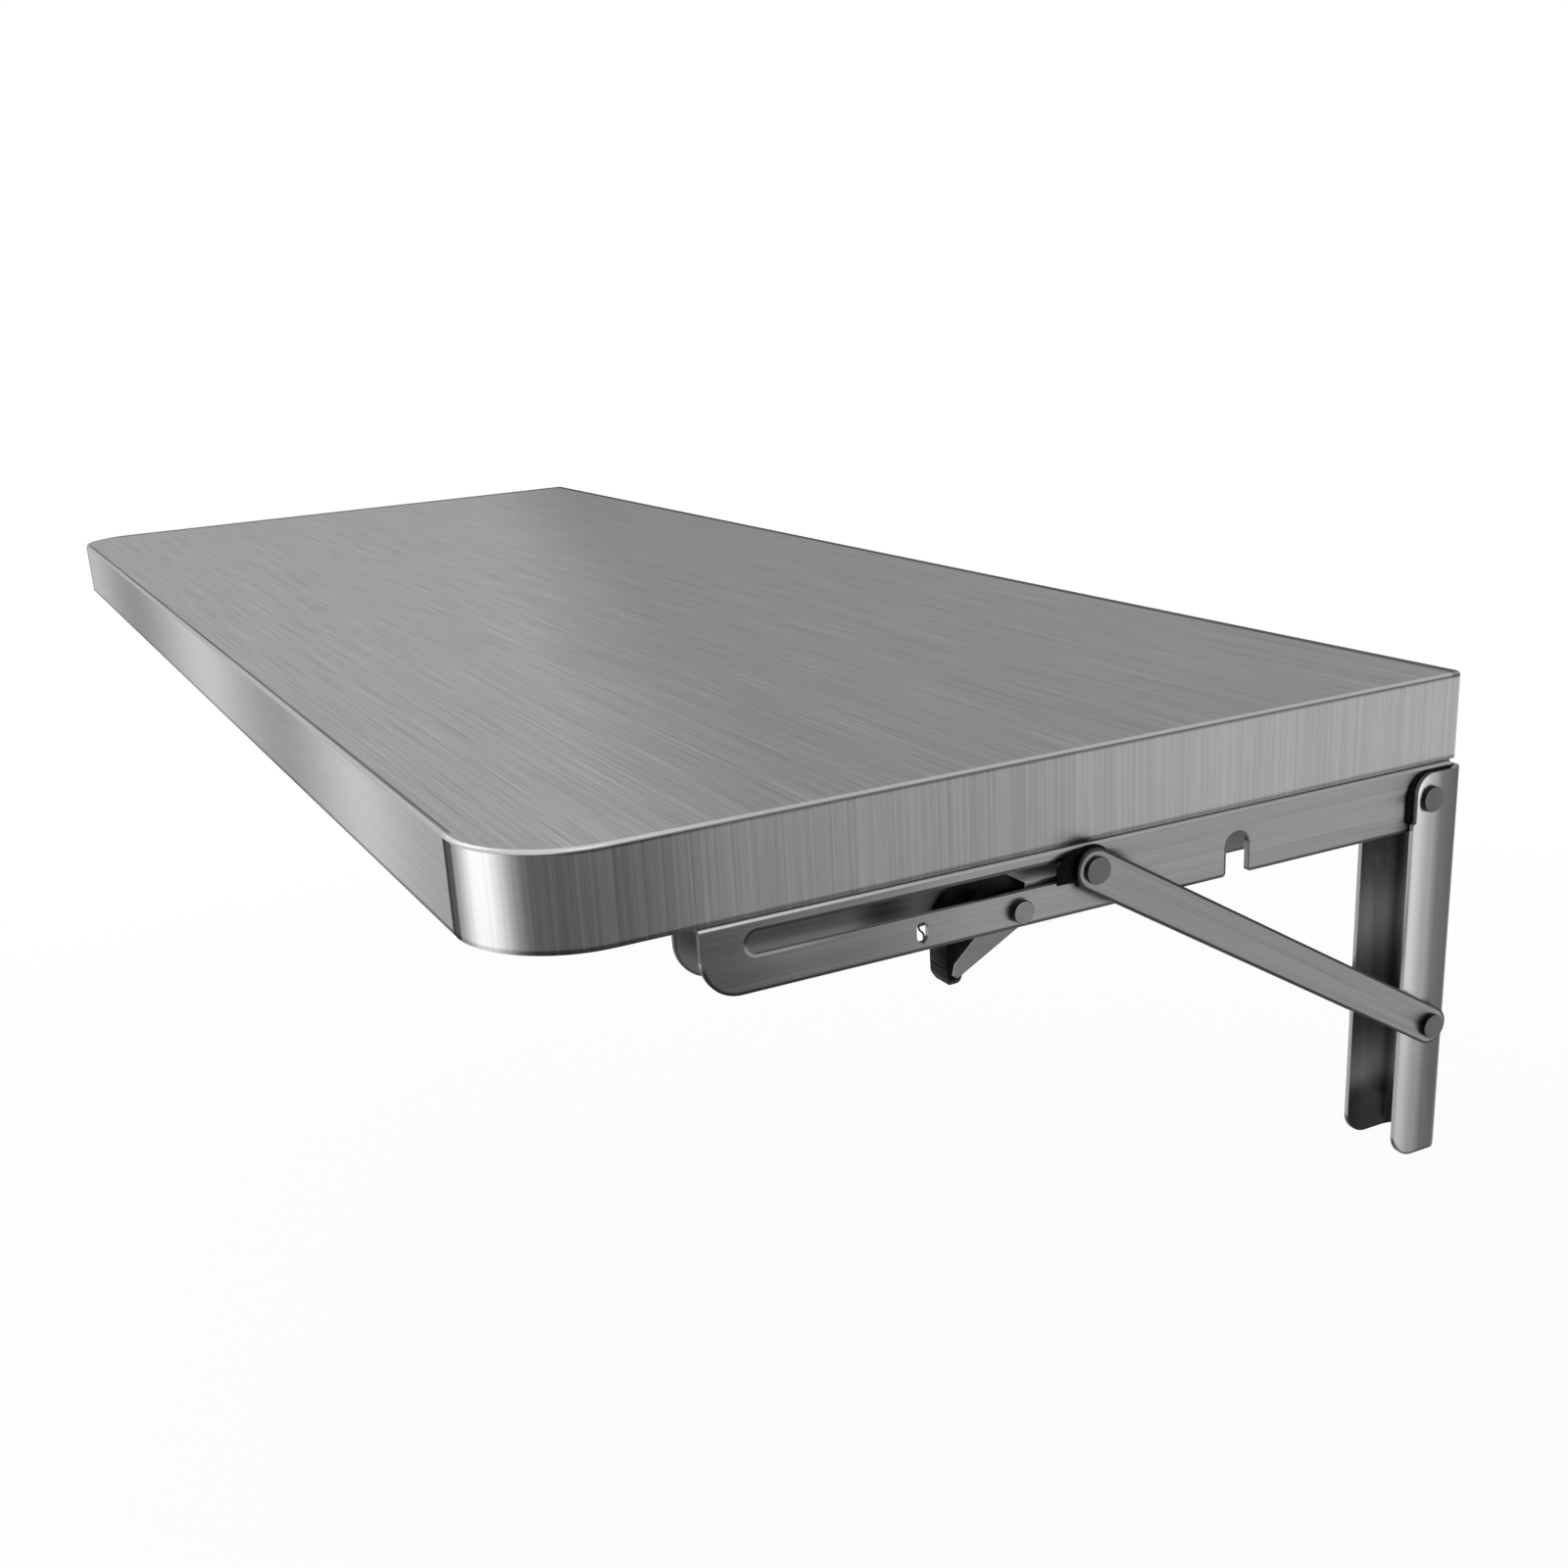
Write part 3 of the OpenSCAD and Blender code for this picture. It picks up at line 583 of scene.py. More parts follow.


# Tone rules of the steel surfaces


# Stops of a distance are millimetres from a named edge, those of the fascia are shares of half
# the table's width, and those of a facing run from -1 for down to 1 for up.
# These tones paint light and shade into the steel: a painted glint round the front corner, stretches of
# painted reflection on the end bands, fascia, wall plates and arms, painted shade with lighter stretches on
# the inner walls of the channels, and on cut edges painted light where they look up and painted shade where
# they look down.
CORNER_GLINT_TONES = ((0.0, 0.5), (4.0, 0.53), (17.5, 1.0), (21.5, 0.98), (39.0, 0.355), (64.0, 0.375))
BAND_REFLECTION_TONES = ((64.0, 0.375), (110.0, 0.515), (170.0, 0.56), (300.0, 0.645), (430.0, 0.66))
FASCIA_REFLECTION_SHARES = ((-0.94, 0.70), (-0.45, 0.475), (0.05, 0.755), (0.42, 0.573), (0.70, 0.77), (0.92, 0.64))
PLATE_TONES = ((-1.5, 0.74), (1.5, 0.82), (9.5, 0.63), (15.5, 0.44), (19.5, 0.41), (23.0, 0.33))
INNER_PLATE_SHADE_TONES = ((-1.0, 0.75), (8.0, 1.0), (16.0, 1.0), (22.0, 0.7))
ARM_TONES = ((-0.5, 0.33), (44.5, 0.43), (114.5, 0.56), (314.5, 0.575))
INNER_ARM_SHADE_TONES = ((-0.5, 0.4), (34.5, 0.46), (64.5, 0.5), (79.5, 0.25), (96.5, 0.6), (234.5, 0.46))
EDGE_TONES = ((-1.0, 0.18), (-0.3, 0.22), (0.0, 0.66), (0.6, 0.6), (1.0, 0.54))
BRACE_EDGE_SHADE_TONES = ((-1.0, 0.14), (0.0, 0.25), (1.0, 0.26))
LEVER_EDGE_LIGHT_SHADE_TONES = ((-1.0, 0.25), (-0.35, 0.3), (0.0, 0.62), (1.0, 0.97))


@dataclass(frozen=True)
class TableShape:
    """Sizes of the tabletop that its finishes need, in metres, and the tones of its painted reflection,
    highlight and shade.
    """

    half_width: float
    front: float
    back: float
    under: float
    top: float
    corner: float = 40 * MM
    rim: float = 1.5 * MM
    # Tones of the top's painted reflection: a middle tone, a rise to the right and a darker zone at the
    # back right; then the painted shade of the crease lines and the corner seams, where the steel is also
    # made to reflect less.
    middle_tone: float = 0.556
    rise_to_right: float = 0.054
    shade_drop: float = 0.117
    shade_slope: float = 0.31
    shade_span: Span = (-0.228, -0.136)
    crease_drop: float = 0.14
    band_seam_tone: float = 0.31
    fascia_seam_tone: float = 0.3
    seam_dullness: float = 0.85

    @property
    def straight_half(self) -> float:
        """Half the length of the straight front, between the rounded corners."""
        return self.half_width - self.corner

    def shade(self, g: Coat, x: Num, y: Num) -> Num:
        """1 on the back right part of the top, where a darker reflection is painted, 0 on the lighter part.
        """
        drift = g.noise(x * 3.0, y * 5.0, 3.0, 1.0, 0.5) * 0.015
        return (y + x * self.shade_slope + drift).rise(*self.shade_span)

    def crease_shade(self, x: Num, y: Num) -> Num:
        """1 in the painted shade line inside the top's back, left and front edges.

        Args:
            x: the point's place along the wall, in metres.
            y: its place off the wall, in front of it below 0.

        Returns:
            The strength of the line.
        """
        back = (self.back - y).stripe(0.8, 6.2, 1.0)
        left = (x + self.half_width).stripe(2.0, 11.0, 2.0)
        front = (y - self.front).stripe(1.2, 3.0, 0.5)
        return back.at_least(left).at_least(front * self.before_corner(x))

    def before_corner(self, x: Num) -> Num:
        """1 along the straight front, 0 round the corners and along the ends."""
        return abs(x).fade(self.straight_half, 2.0, -4.0)

    def past_corner(self, y: Num) -> Num:
        """0 in front and round the front corners, 1 along the ends."""
        return y.fade(self.front, 20.0, 32.0)

    def top_tone(self, g: Coat, x: Num, y: Num, z: Num) -> Num:
        """The top has a painted darker reflection at the back right, a painted highlight on the rim,
        painted shade in the seam below it and painted shade lines along its edges.

        Args:
            g: the material.
            x: the point's place along the wall, in metres.
            y: its place off the wall, in front of it below 0.
            z: its height.

        Returns:
            The tone there.
        """
        # Painted reflection: a slight rise to the right and a darker zone at the back right
        flat = x * self.rise_to_right + self.middle_tone
        flat = flat - self.shade(g, x, y) * (self.shade_drop - x * 0.029)
        up = g.facing()[2]
        # Painted shade in the seam below the rim, past the front corners
        seam = up.rise(0.45, 0.2) * self.past_corner(y)
        # Painted highlight on the rounded rim and along the back and left lips, weaker along the straight
        # front
        lip = y.fade(self.back, -1.2, -0.8).at_least(x.fade(-self.half_width, 3.0, 2.0))
        ahead = y.fade(self.front, 4.0, 3.0) * self.before_corner(x)
        bright = up.rise(0.985, 0.93).at_least(lip) * (0.2 - ahead * 0.1)
        return flat + bright - seam * 0.25 - self.crease_shade(x, y) * self.crease_drop

    def top_metal(self, g: Coat, x: Num, y: Num, z: Num) -> Num:
        """The top reflects little in its painted shade line."""
        return 1.0 - self.crease_shade(x, y) * 0.75

    def run_along_band(self, g: Coat, x: Num, y: Num) -> Num:
        """Distance along an end band from the front seam, round the corner, to the back.

        Args:
            g: the material.
            x: the point's place along the wall, in metres.
            y: its place off the wall, in front of it below 0.

        Returns:
            The distance, in metres.
        """
        past_centre = y - (self.front + self.corner)
        out = (abs(x) - self.straight_half).at_least(0.1 * MM)
        angle = g.math("ARCTAN2", past_centre.at_most(0.0), out) + math.pi / 2
        return angle * self.corner + past_centre.at_least(0.0)

    def band_tone(self, g: Coat, x: Num, y: Num, z: Num) -> Num:
        """An end band: a painted glint at the corner, painted darker reflection beside it, lighter painted
        reflection at the back, and painted shade in its seams and lower bend.

        Args:
            g: the material.
            x: the point's place along the wall, in metres.
            y: its place off the wall, in front of it below 0.
            z: its height.

        Returns:
            The tone there.
        """
        run = self.run_along_band(g, x, y)
        late = g.math("GREATER_THAN", run, BAND_REFLECTION_TONES[0][0] * MM)
        seam = self.band_seam_shade(run)
        # Painted reflection along the band: the glint round the corner, then darker and lighter stretches;
        # painted shade in the seam
        base = run.ramp(CORNER_GLINT_TONES, unit=MM) * (1.0 - late) + run.ramp(BAND_REFLECTION_TONES, unit=MM) * late
        base = base * (1.0 - seam) + seam * self.band_seam_tone
        lines = g.noise(run * 900.0, z * 5.0, 1.0, 3.0, 0.7) * 0.1
        lines = lines + g.noise(run * 130.0, z * 2.0, 5.0, 1.0, 0.5) * 0.01
        # Painted shade below the rim past the corner and along the lower bend
        return base + lines - self.upper_shade(z) * self.past_corner(y) - self.lower_shade(z) * 0.6

    def band_seam_shade(self, run: Num) -> Num:
        """1 in the end band's part of the painted shade in the corner seam."""
        return run.fade(0.0, 6.2, 4.2)

    def band_metal(self, g: Coat, x: Num, y: Num, z: Num) -> Num:
        """An end band reflects little in its painted seam shade."""
        return 1.0 - self.band_seam_shade(self.run_along_band(g, x, y)) * self.seam_dullness

    def fascia_seam_shade(self, x: Num, y: Num) -> Num:
        """1 in the fascia's part of the painted shade in the corner seam."""
        return abs(x).fade(self.straight_half, -3.2, -1.6) * y.fade(self.front, 20.0, 15.0)

    def fascia_metal(self, g: Coat, x: Num, y: Num, z: Num) -> Num:
        """The fascia reflects little in its painted seam shade."""
        return 1.0 - self.fascia_seam_shade(x, y) * self.seam_dullness

    def fascia_tone(self, g: Coat, x: Num, y: Num, z: Num) -> Num:
        """The fascia has painted reflection in soft lighter and darker stretches, with painted shade in its
        corner seams and lower bend.

        Args:
            g: the material.
            x: the point's place along the wall, in metres.
            y: its place off the wall, in front of it below 0.
            z: its height.

        Returns:
            The tone there.
        """
        # Painted reflection in lighter and darker stretches, with painted shade along the lower bend and in
        # the corner seams
        reflection_wave = x.ramp(FASCIA_REFLECTION_SHARES, unit=self.half_width)
        drift = g.noise(x * 5.0, 2.0, 4.0, 1.0, 0.5)
        seam = self.fascia_seam_shade(x, y)
        flat = reflection_wave + drift * 0.015 - self.lower_shade(z)
        return flat * (1.0 - seam) + seam * self.fascia_seam_tone

    def upper_shade(self, z: Num) -> Num:
        """Painted shade in the seam below the rim."""
        return z.fade(self.top - self.rim, -1.2, 0.0) * 0.18

    def lower_shade(self, z: Num) -> Num:
        """Painted shade along the lower bend."""
        return z.fade(self.under, 2.2, 1.2) * 0.26


def outline(y: Num, z: Num, start: Span, end: Span) -> Num:
    """Distance of a point from a line between two points, seen from the side.

    Args:
        y: the point's distance in front of or behind the wall.
        z: the point's height.
        start: y and z of the line's first end, in metres.
        end: y and z of its last end.

    Returns:
        The distance, in metres.
    """
    reach = math.hypot(end[0] - start[0], end[1] - start[1])
    uy, uz = (end[0] - start[0]) / reach, (end[1] - start[1]) / reach
    y, z = y - start[0], z - start[1]
    along = (y * uy + z * uz).at_least(0.0).at_most(reach)
    return (y - along * uy).hypot(z - along * uz)


@dataclass(frozen=True)
class BracketShape:
    """Places and sizes of a bracket that its finishes need, seen from the side, in metres."""

    plate_front: float
    plate_foot: float
    arm_front: float
    arm_low: float
    lower_pin: Span
    shaft: Span
    foot_round: float = 10.5 * MM
    nose_round: float = 14 * MM
    slot_run: float = 132.3 * MM
    slot_past_shaft: float = 1.5 * MM
    notch_from_shaft: float = 68.7 * MM
    notch_rise: float = 11.1 * MM
    notch_below: float = 19.3 * MM
    # How much the painted shade lines along cut edges darken the steel
    outline_shade_drop: float = 0.45

    @classmethod
    def measured(cls) -> "BracketShape":
        """Takes the places from the solids of the right bracket, whose mirror image is the left.

        Returns:
            The shape.
        """
        side = SIDES[0]
        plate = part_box(f"wall_plate_{side}")[0]
        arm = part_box(f"arm_{side}")[0]
        pin, shaft = (
            tuple((low + high) / 2 for low, high in zip(*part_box(f"{kind}_{side}")))[1:]
            for kind in ("lower_pin", "slider_shaft")
        )
        return cls(plate[1], plate[2], arm[1], arm[2], pin, shaft)

    def from_corner(self, y: Num, z: Num, front: float, low: float, radius: float) -> Num:
        """Distance forward of and below the centre of a rounded lower front corner."""
        return (front + radius - y).at_least(0.0).hypot((low + radius - z).at_least(0.0))

    def plate_tone(self, g: Coat, x: Num, y: Num, z: Num) -> Num:
        """A wall plate: painted reflection, light along its front and darker towards the wall, a painted
        highlight on its ear, painted shade lower down and a painted shade line round its foot.

        Args:
            g: the material.
            x: the point's place along the wall, in metres.
            y: its place off the wall, in front of it below 0.
            z: its height.

        Returns:
            The tone there.
        """
        # Painted reflection across the flange, a painted highlight on the ear, painted shade lower down and
        # a painted shade line round the foot's corner
        across = y.ramp(PLATE_TONES, self.plate_front, MM)
        ear = z.fade(self.plate_foot, 144.8, 169.8) * y.fade(self.plate_front, 14.0, 2.0) * 0.12
        corner = self.from_corner(y, z, self.plate_front, self.plate_foot, self.foot_round)
        foot = corner.fade(self.foot_round, -1.3, -0.3) * z.fade(self.plate_foot, 8.8, 4.8)
        lower = 1.0 - z.fade(self.plate_foot, 84.8, 29.8) * 0.09
        return (across + ear) * lower * (1.0 - foot * self.outline_shade_drop)

    def arm_tone(self, g: Coat, x: Num, y: Num, z: Num) -> Num:
        """An arm carries painted reflection, darker towards its front end, with painted shade lines and a
        painted highlight along its cut edges.

        Args:
            g: the material.
            x: the point's place along the wall, in metres.
            y: its place off the wall, in front of it below 0.
            z: its height.

        Returns:
            The tone there.
        """
        # Painted shade lines round the nose, the notch and the slot's upper edge
        corner = self.from_corner(y, z, self.arm_front, self.arm_low, self.nose_round)
        nose = corner.fade(self.nose_round, -1.5, -0.7) * z.fade(self.arm_low, 12.7, 9.7)
        height = self.shaft[1]
        slot_front = self.shaft[0] - self.slot_run
        slot_back = self.shaft[0] + self.slot_past_shaft
        slot = outline(y, z, (slot_front, height), (slot_back, height)).stripe(3.5, 5.3)
        notch_y = self.shaft[0] + self.notch_from_shaft
        notch_top, notch_low = self.arm_low + self.notch_rise, self.arm_low - self.notch_below
        notch = outline(y, z, (notch_y, notch_top), (notch_y, notch_low)).stripe(4.5, 6.3)
        dark = nose.at_least(notch * 0.8).at_least(slot * z.fade(height, -0.8, 2.2))
        # Painted highlight along the slot's lower edge
        light = slot * z.fade(height, 0.5, -1.8) * y.fade(slot_front, 33.8, 3.8)
        # Painted reflection, darker towards the front end
        flat = y.ramp(ARM_TONES, self.arm_front, MM)
        return flat * (1.0 - dark * self.outline_shade_drop) + light * 0.16

    def brace_tone(self, g: Coat, x: Num, y: Num, z: Num) -> Num:
        """A brace bar is even, with a painted shade line along its edge."""
        return 0.54 - outline(y, z, self.lower_pin, self.shaft).fade(0.0, 6.6, 7.3) * 0.3

    def inner_plate_tone(self, g: Coat, x: Num, y: Num, z: Num) -> Num:
        """The inner walls of a wall plate carry painted shade, with soft painted lighter stretches.

        Args:
            g: the material.
            x: the point's place along the wall, in metres.
            y: its place off the wall, in front of it below 0.
            z: its height.

        Returns:
            The tone there.
        """
        # Painted lighter bands in the painted shade, lighter higher up and darker near the foot
        glow = (g.math("COSINE", z * 90.0 - 2.25) * 0.5 + 0.5) ** 1.6
        lift = z.fade(self.plate_foot, 54.8, 94.8) * 0.12 - z.fade(self.plate_foot, 28.8, 16.8) * 0.25
        return (glow * 0.26 + lift + 0.34) * y.ramp(INNER_PLATE_SHADE_TONES, self.plate_front, MM)

    def inner_arm_tone(self, g: Coat, x: Num, y: Num, z: Num) -> Num:
        """The inner walls of an arm carry painted shade, painted lighter in the middle of the slot.

        Args:
            g: the material.
            x: the point's place along the wall, in metres.
            y: its place off the wall, in front of it below 0.
            z: its height.

        Returns:
            The tone there.
        """
        # Painted shade inside the channel, with a painted shade line round the nose
        corner = self.from_corner(y, z, self.arm_front, self.arm_low, self.nose_round)
        return y.ramp(INNER_ARM_SHADE_TONES, self.arm_front, MM) - corner.fade(self.nose_round, -1.3, -0.6) * 0.15


def by_facing(stops: Stops) -> ToneRule:
    """A tone that depends only on how far a face looks up or down, which paints light and shade by facing.

    Args:
        stops: tones from a face that looks down, at -1, to one that looks up, at 1.

    Returns:
        The rule.
    """
    return lambda g, x, y, z: g.facing()[2].ramp(stops)


# Pieces


class Shop:
    """Makes new pieces from solids and primitives."""

    @staticmethod
    def pick(piece: bpy.types.Object) -> None:
        """Selects one piece alone and makes it active.

        Args:
            piece: the piece.
        """
        bpy.ops.object.select_all(action="DESELECT")
        piece.select_set(True)
        bpy.context.view_layer.objects.active = piece

    @classmethod
    def copy_of(cls, node: str, name: str) -> bpy.types.Object:
        """Copies a solid's mesh and merges its loose triangles into clean faces.

        Args:
            node: the solid's name.
            name: the new piece's name.

        Returns:
            The new piece.
        """
        piece = bpy.data.objects.new(name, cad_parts[node].data.copy())
        bpy.context.scene.collection.objects.link(piece)
        cls.pick(piece)
        bpy.ops.mesh.customdata_custom_splitnormals_clear()
        bpy.ops.object.mode_set(mode="EDIT")
        bpy.ops.mesh.select_all(action="SELECT")
        bpy.ops.mesh.remove_doubles(threshold=0.002 * MM)
        bpy.ops.mesh.dissolve_limited(angle_limit=math.radians(0.4))
        bpy.ops.object.mode_set(mode="OBJECT")
        return piece

    @classmethod
    def soften(cls, piece: bpy.types.Object, width: float) -> None:
        """Rounds a piece's sharp edges.

        Args:
            piece: the piece.
            width: width of the rounding, in metres.
        """
        cls.pick(piece)
        bevel = piece.modifiers.new("rounding", "BEVEL")
        bevel.width = width
        bevel.segments = 2
        bevel.limit_method = "ANGLE"
        bevel.angle_limit = math.radians(35)
        bpy.ops.object.modifier_apply(modifier=bevel.name)
        bpy.ops.object.shade_smooth_by_angle(angle=math.radians(38))

    @classmethod
    def rounded(cls, piece: bpy.types.Object, growth: float) -> None:
        """Makes a six-sided wire round and keeps it as thick.

        Args:
            piece: the piece.
            growth: what the rounding takes off and is given back, in metres.
        """
        cls.pick(piece)
        bpy.ops.object.mode_set(mode="EDIT")
        bpy.ops.mesh.select_all(action="SELECT")
        limits = {"face_threshold": math.radians(40), "shape_threshold": math.radians(60)}
        bpy.ops.mesh.tris_convert_to_quads(**limits)
        bpy.ops.object.mode_set(mode="OBJECT")
        rounding = piece.modifiers.new("rounding", "SUBSURF")
        rounding.levels = 2
        bpy.ops.object.modifier_apply(modifier=rounding.name)
        fuller = piece.modifiers.new("fuller", "DISPLACE")
        fuller.mid_level = 0.0
        fuller.strength = growth
        bpy.ops.object.modifier_apply(modifier=fuller.name)
        bpy.ops.object.shade_smooth()

    @staticmethod
    def dress(
        piece: bpy.types.Object,
        finishes: list[bpy.types.Material],
        choose: Callable[[Vector, Vector], int] | None = None,
    ) -> None:
        """Gives a piece its finishes, face by face.

        Args:
            piece: the piece.
            finishes: the materials.
            choose: gives a face's material number from its centre and its normal.
        """
        piece.data.materials.clear()
        for finish in finishes:
            piece.data.materials.append(finish)
        for face in piece.data.polygons:
            face.material_index = choose(face.center, face.normal) if choose else 0


class Finish(Enum):
    """The finishes by name, filled in by the paint shop."""

    TOP = "top"
    FASCIA = "fascia"
    END_BAND = "end band"
    PANEL = "panel"
    CORE = "core"
    INSERT = "insert"
    PLATE = "plate"
    ARM = "arm"
    EDGE = "edge"
    INNER_PLATE = "inner plate"
    INNER_ARM = "inner arm"
    BRACE = "brace"
    BRACE_EDGE = "brace edge"
    LEVER = "lever"
    LEVER_EDGE = "lever edge"
    PIN = "pin"
    LEVER_PIN = "lever pin"
    SCREW = "screw"
    WIRE = "wire"
    PLASTIC = "plastic"


class Skin(IntEnum):
    """Material numbers on a piece of pressed sheet."""

    OUTER = 0
    EDGE = 1
    INNER = 2


class PaintShop:
    """Builds each finish once."""

    def __init__(self, table: TableShape, bracket: BracketShape) -> None:
        """Builds all finishes.

        Args:
            table: the tabletop's sizes.
            bracket: the sizes of a bracket.
        """
        recipes = {
            Finish.TOP: BrushedSteel(
                "brushed_top",
                streak=0.052,
                fine=0.14,
                metallic=0.5,
                specular=0.0,
                wide=0.08,
                calm_rim=True,
                rule=table.top_tone,
                metal_rule=table.top_metal,
            ),
            Finish.FASCIA: BrushedSteel(
                "brushed_fascia",
                streak=0.03,
                fine=0.06,
                metallic=0.5,
                specular=0.0,
                rule=table.fascia_tone,
                metal_rule=table.fascia_metal,
            ),
            Finish.END_BAND: BrushedSteel(
                "brushed_end_band",
                grain=Grain.ALONG_Z,
                streak=0.0,
                fine=0.015,
                specular=0.0,
                rule=table.band_tone,
                metal_rule=table.band_metal,
            ),
            Finish.PANEL: BrushedSteel("underside_steel", tone=0.62, streak=0.015, roughness=0.45),
            Finish.CORE: RawBoard("core_board"),
            Finish.INSERT: TurnedBrass("insert_brass"),
            Finish.PLATE: BrushedSteel(
                "plate_steel",
                grain=Grain.ALONG_Z,
                tint=(0.985, 0.99, 1.0),
                streak=0.01,
                fine=0.015,
                rule=bracket.plate_tone,
            ),
            Finish.ARM: BrushedSteel(
                "arm_steel", grain=Grain.ALONG_Y, streak=0.045, fine=0.045, rule=bracket.arm_tone
            ),
            Finish.EDGE: BrushedSteel(
                "cut_edge",
                grain=Grain.ALONG_Y,
                streak=0.02,
                underside=0.0,
                metallic=0.7,
                specular=0.2,
                rule=by_facing(EDGE_TONES),
            ),
            Finish.INNER_PLATE: BrushedSteel(
                "inner_plate",
                grain=Grain.ALONG_Z,
                streak=0.01,
                underside=0.0,
                metallic=0.2,
                specular=0.15,
                rule=bracket.inner_plate_tone,
            ),
            Finish.INNER_ARM: BrushedSteel(
                "inner_arm",
                grain=Grain.ALONG_Y,
                streak=0.02,
                underside=0.0,
                metallic=0.3,
                rule=bracket.inner_arm_tone,
            ),
            Finish.BRACE: BrushedSteel(
                "brace_steel", grain=Grain.SLANTED, streak=0.05, fine=0.05, rule=bracket.brace_tone
            ),
            Finish.BRACE_EDGE: BrushedSteel(
                "brace_edge",
                grain=Grain.ALONG_Y,
                streak=0.02,
                underside=0.0,
                rule=by_facing(BRACE_EDGE_SHADE_TONES),
            ),
            Finish.LEVER: BrushedSteel("lever_steel", tone=0.46, grain=Grain.ALONG_Y),
            Finish.LEVER_EDGE: BrushedSteel(
                "lever_edge",
                grain=Grain.ALONG_Y,
                streak=0.02,
                underside=0.0,
                metallic=0.4,
                rule=by_facing(LEVER_EDGE_LIGHT_SHADE_TONES),
            ),
            Finish.PIN: TurnedPin("pin_steel", 0.39),
            Finish.LEVER_PIN: TurnedPin("lever_pin_steel", 0.49),
            Finish.SCREW: TurnedPin("screw_steel", 0.4, 0.34),
            Finish.WIRE: DarkWire("spring_wire"),
            Finish.PLASTIC: MouldedPlastic("black_plastic"),
        }
        self.materials = {finish: recipe.build() for finish, recipe in recipes.items()}

    def __getitem__(self, finish: Finish) -> bpy.types.Material:
        """The material of a finish."""
        return self.materials[finish]


@dataclass
class Tabletop:
    """The steel-clad tabletop."""

    paint: PaintShop
    fold_width: float = 0.5 * MM

    def build(self) -> None:
        """Dresses the tabletop's solids and softens its folded bands."""
        self.repaint("top_sheet", Finish.TOP)
        self.repaint("underside_panel", Finish.PANEL)
        self.repaint("core_board", Finish.CORE)
        self.repaint("screw_inserts", Finish.INSERT)
        self.band("front_fascia", Finish.FASCIA)
        self.band("back_band", Finish.FASCIA)
        for side in SIDES:
            self.band(f"side_band_{side}", Finish.END_BAND)

    def repaint(self, node: str, finish: Finish) -> None:
        """Gives a solid its finish.

        Args:
            node: the solid's name.
            finish: its finish.
        """
        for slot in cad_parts[node].material_slots:
            slot.material = self.paint[finish]
        log.info("%s dressed", node)

    def band(self, node: str, finish: Finish) -> None:
        """Makes a folded band with softened bends.

        Args:
            node: the solid that it stands for.
            finish: its finish.
        """
        piece = Shop.copy_of(node, f"{node}_folded")
        Shop.soften(piece, self.fold_width)
        Shop.dress(piece, [self.paint[finish]])
        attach(piece, "top")
        hand_over(piece, "sheet_steel", node)


def hand_over(piece: bpy.types.Object, slot: str, node: str) -> None:
    """Lets a new piece stand for a solid.

    Args:
        piece: the piece.
        slot: the material slot of the record; not used.
        node: the solid that it replaces.
    """
    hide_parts(node)
    log.info("%s built for %s", piece.name, node)


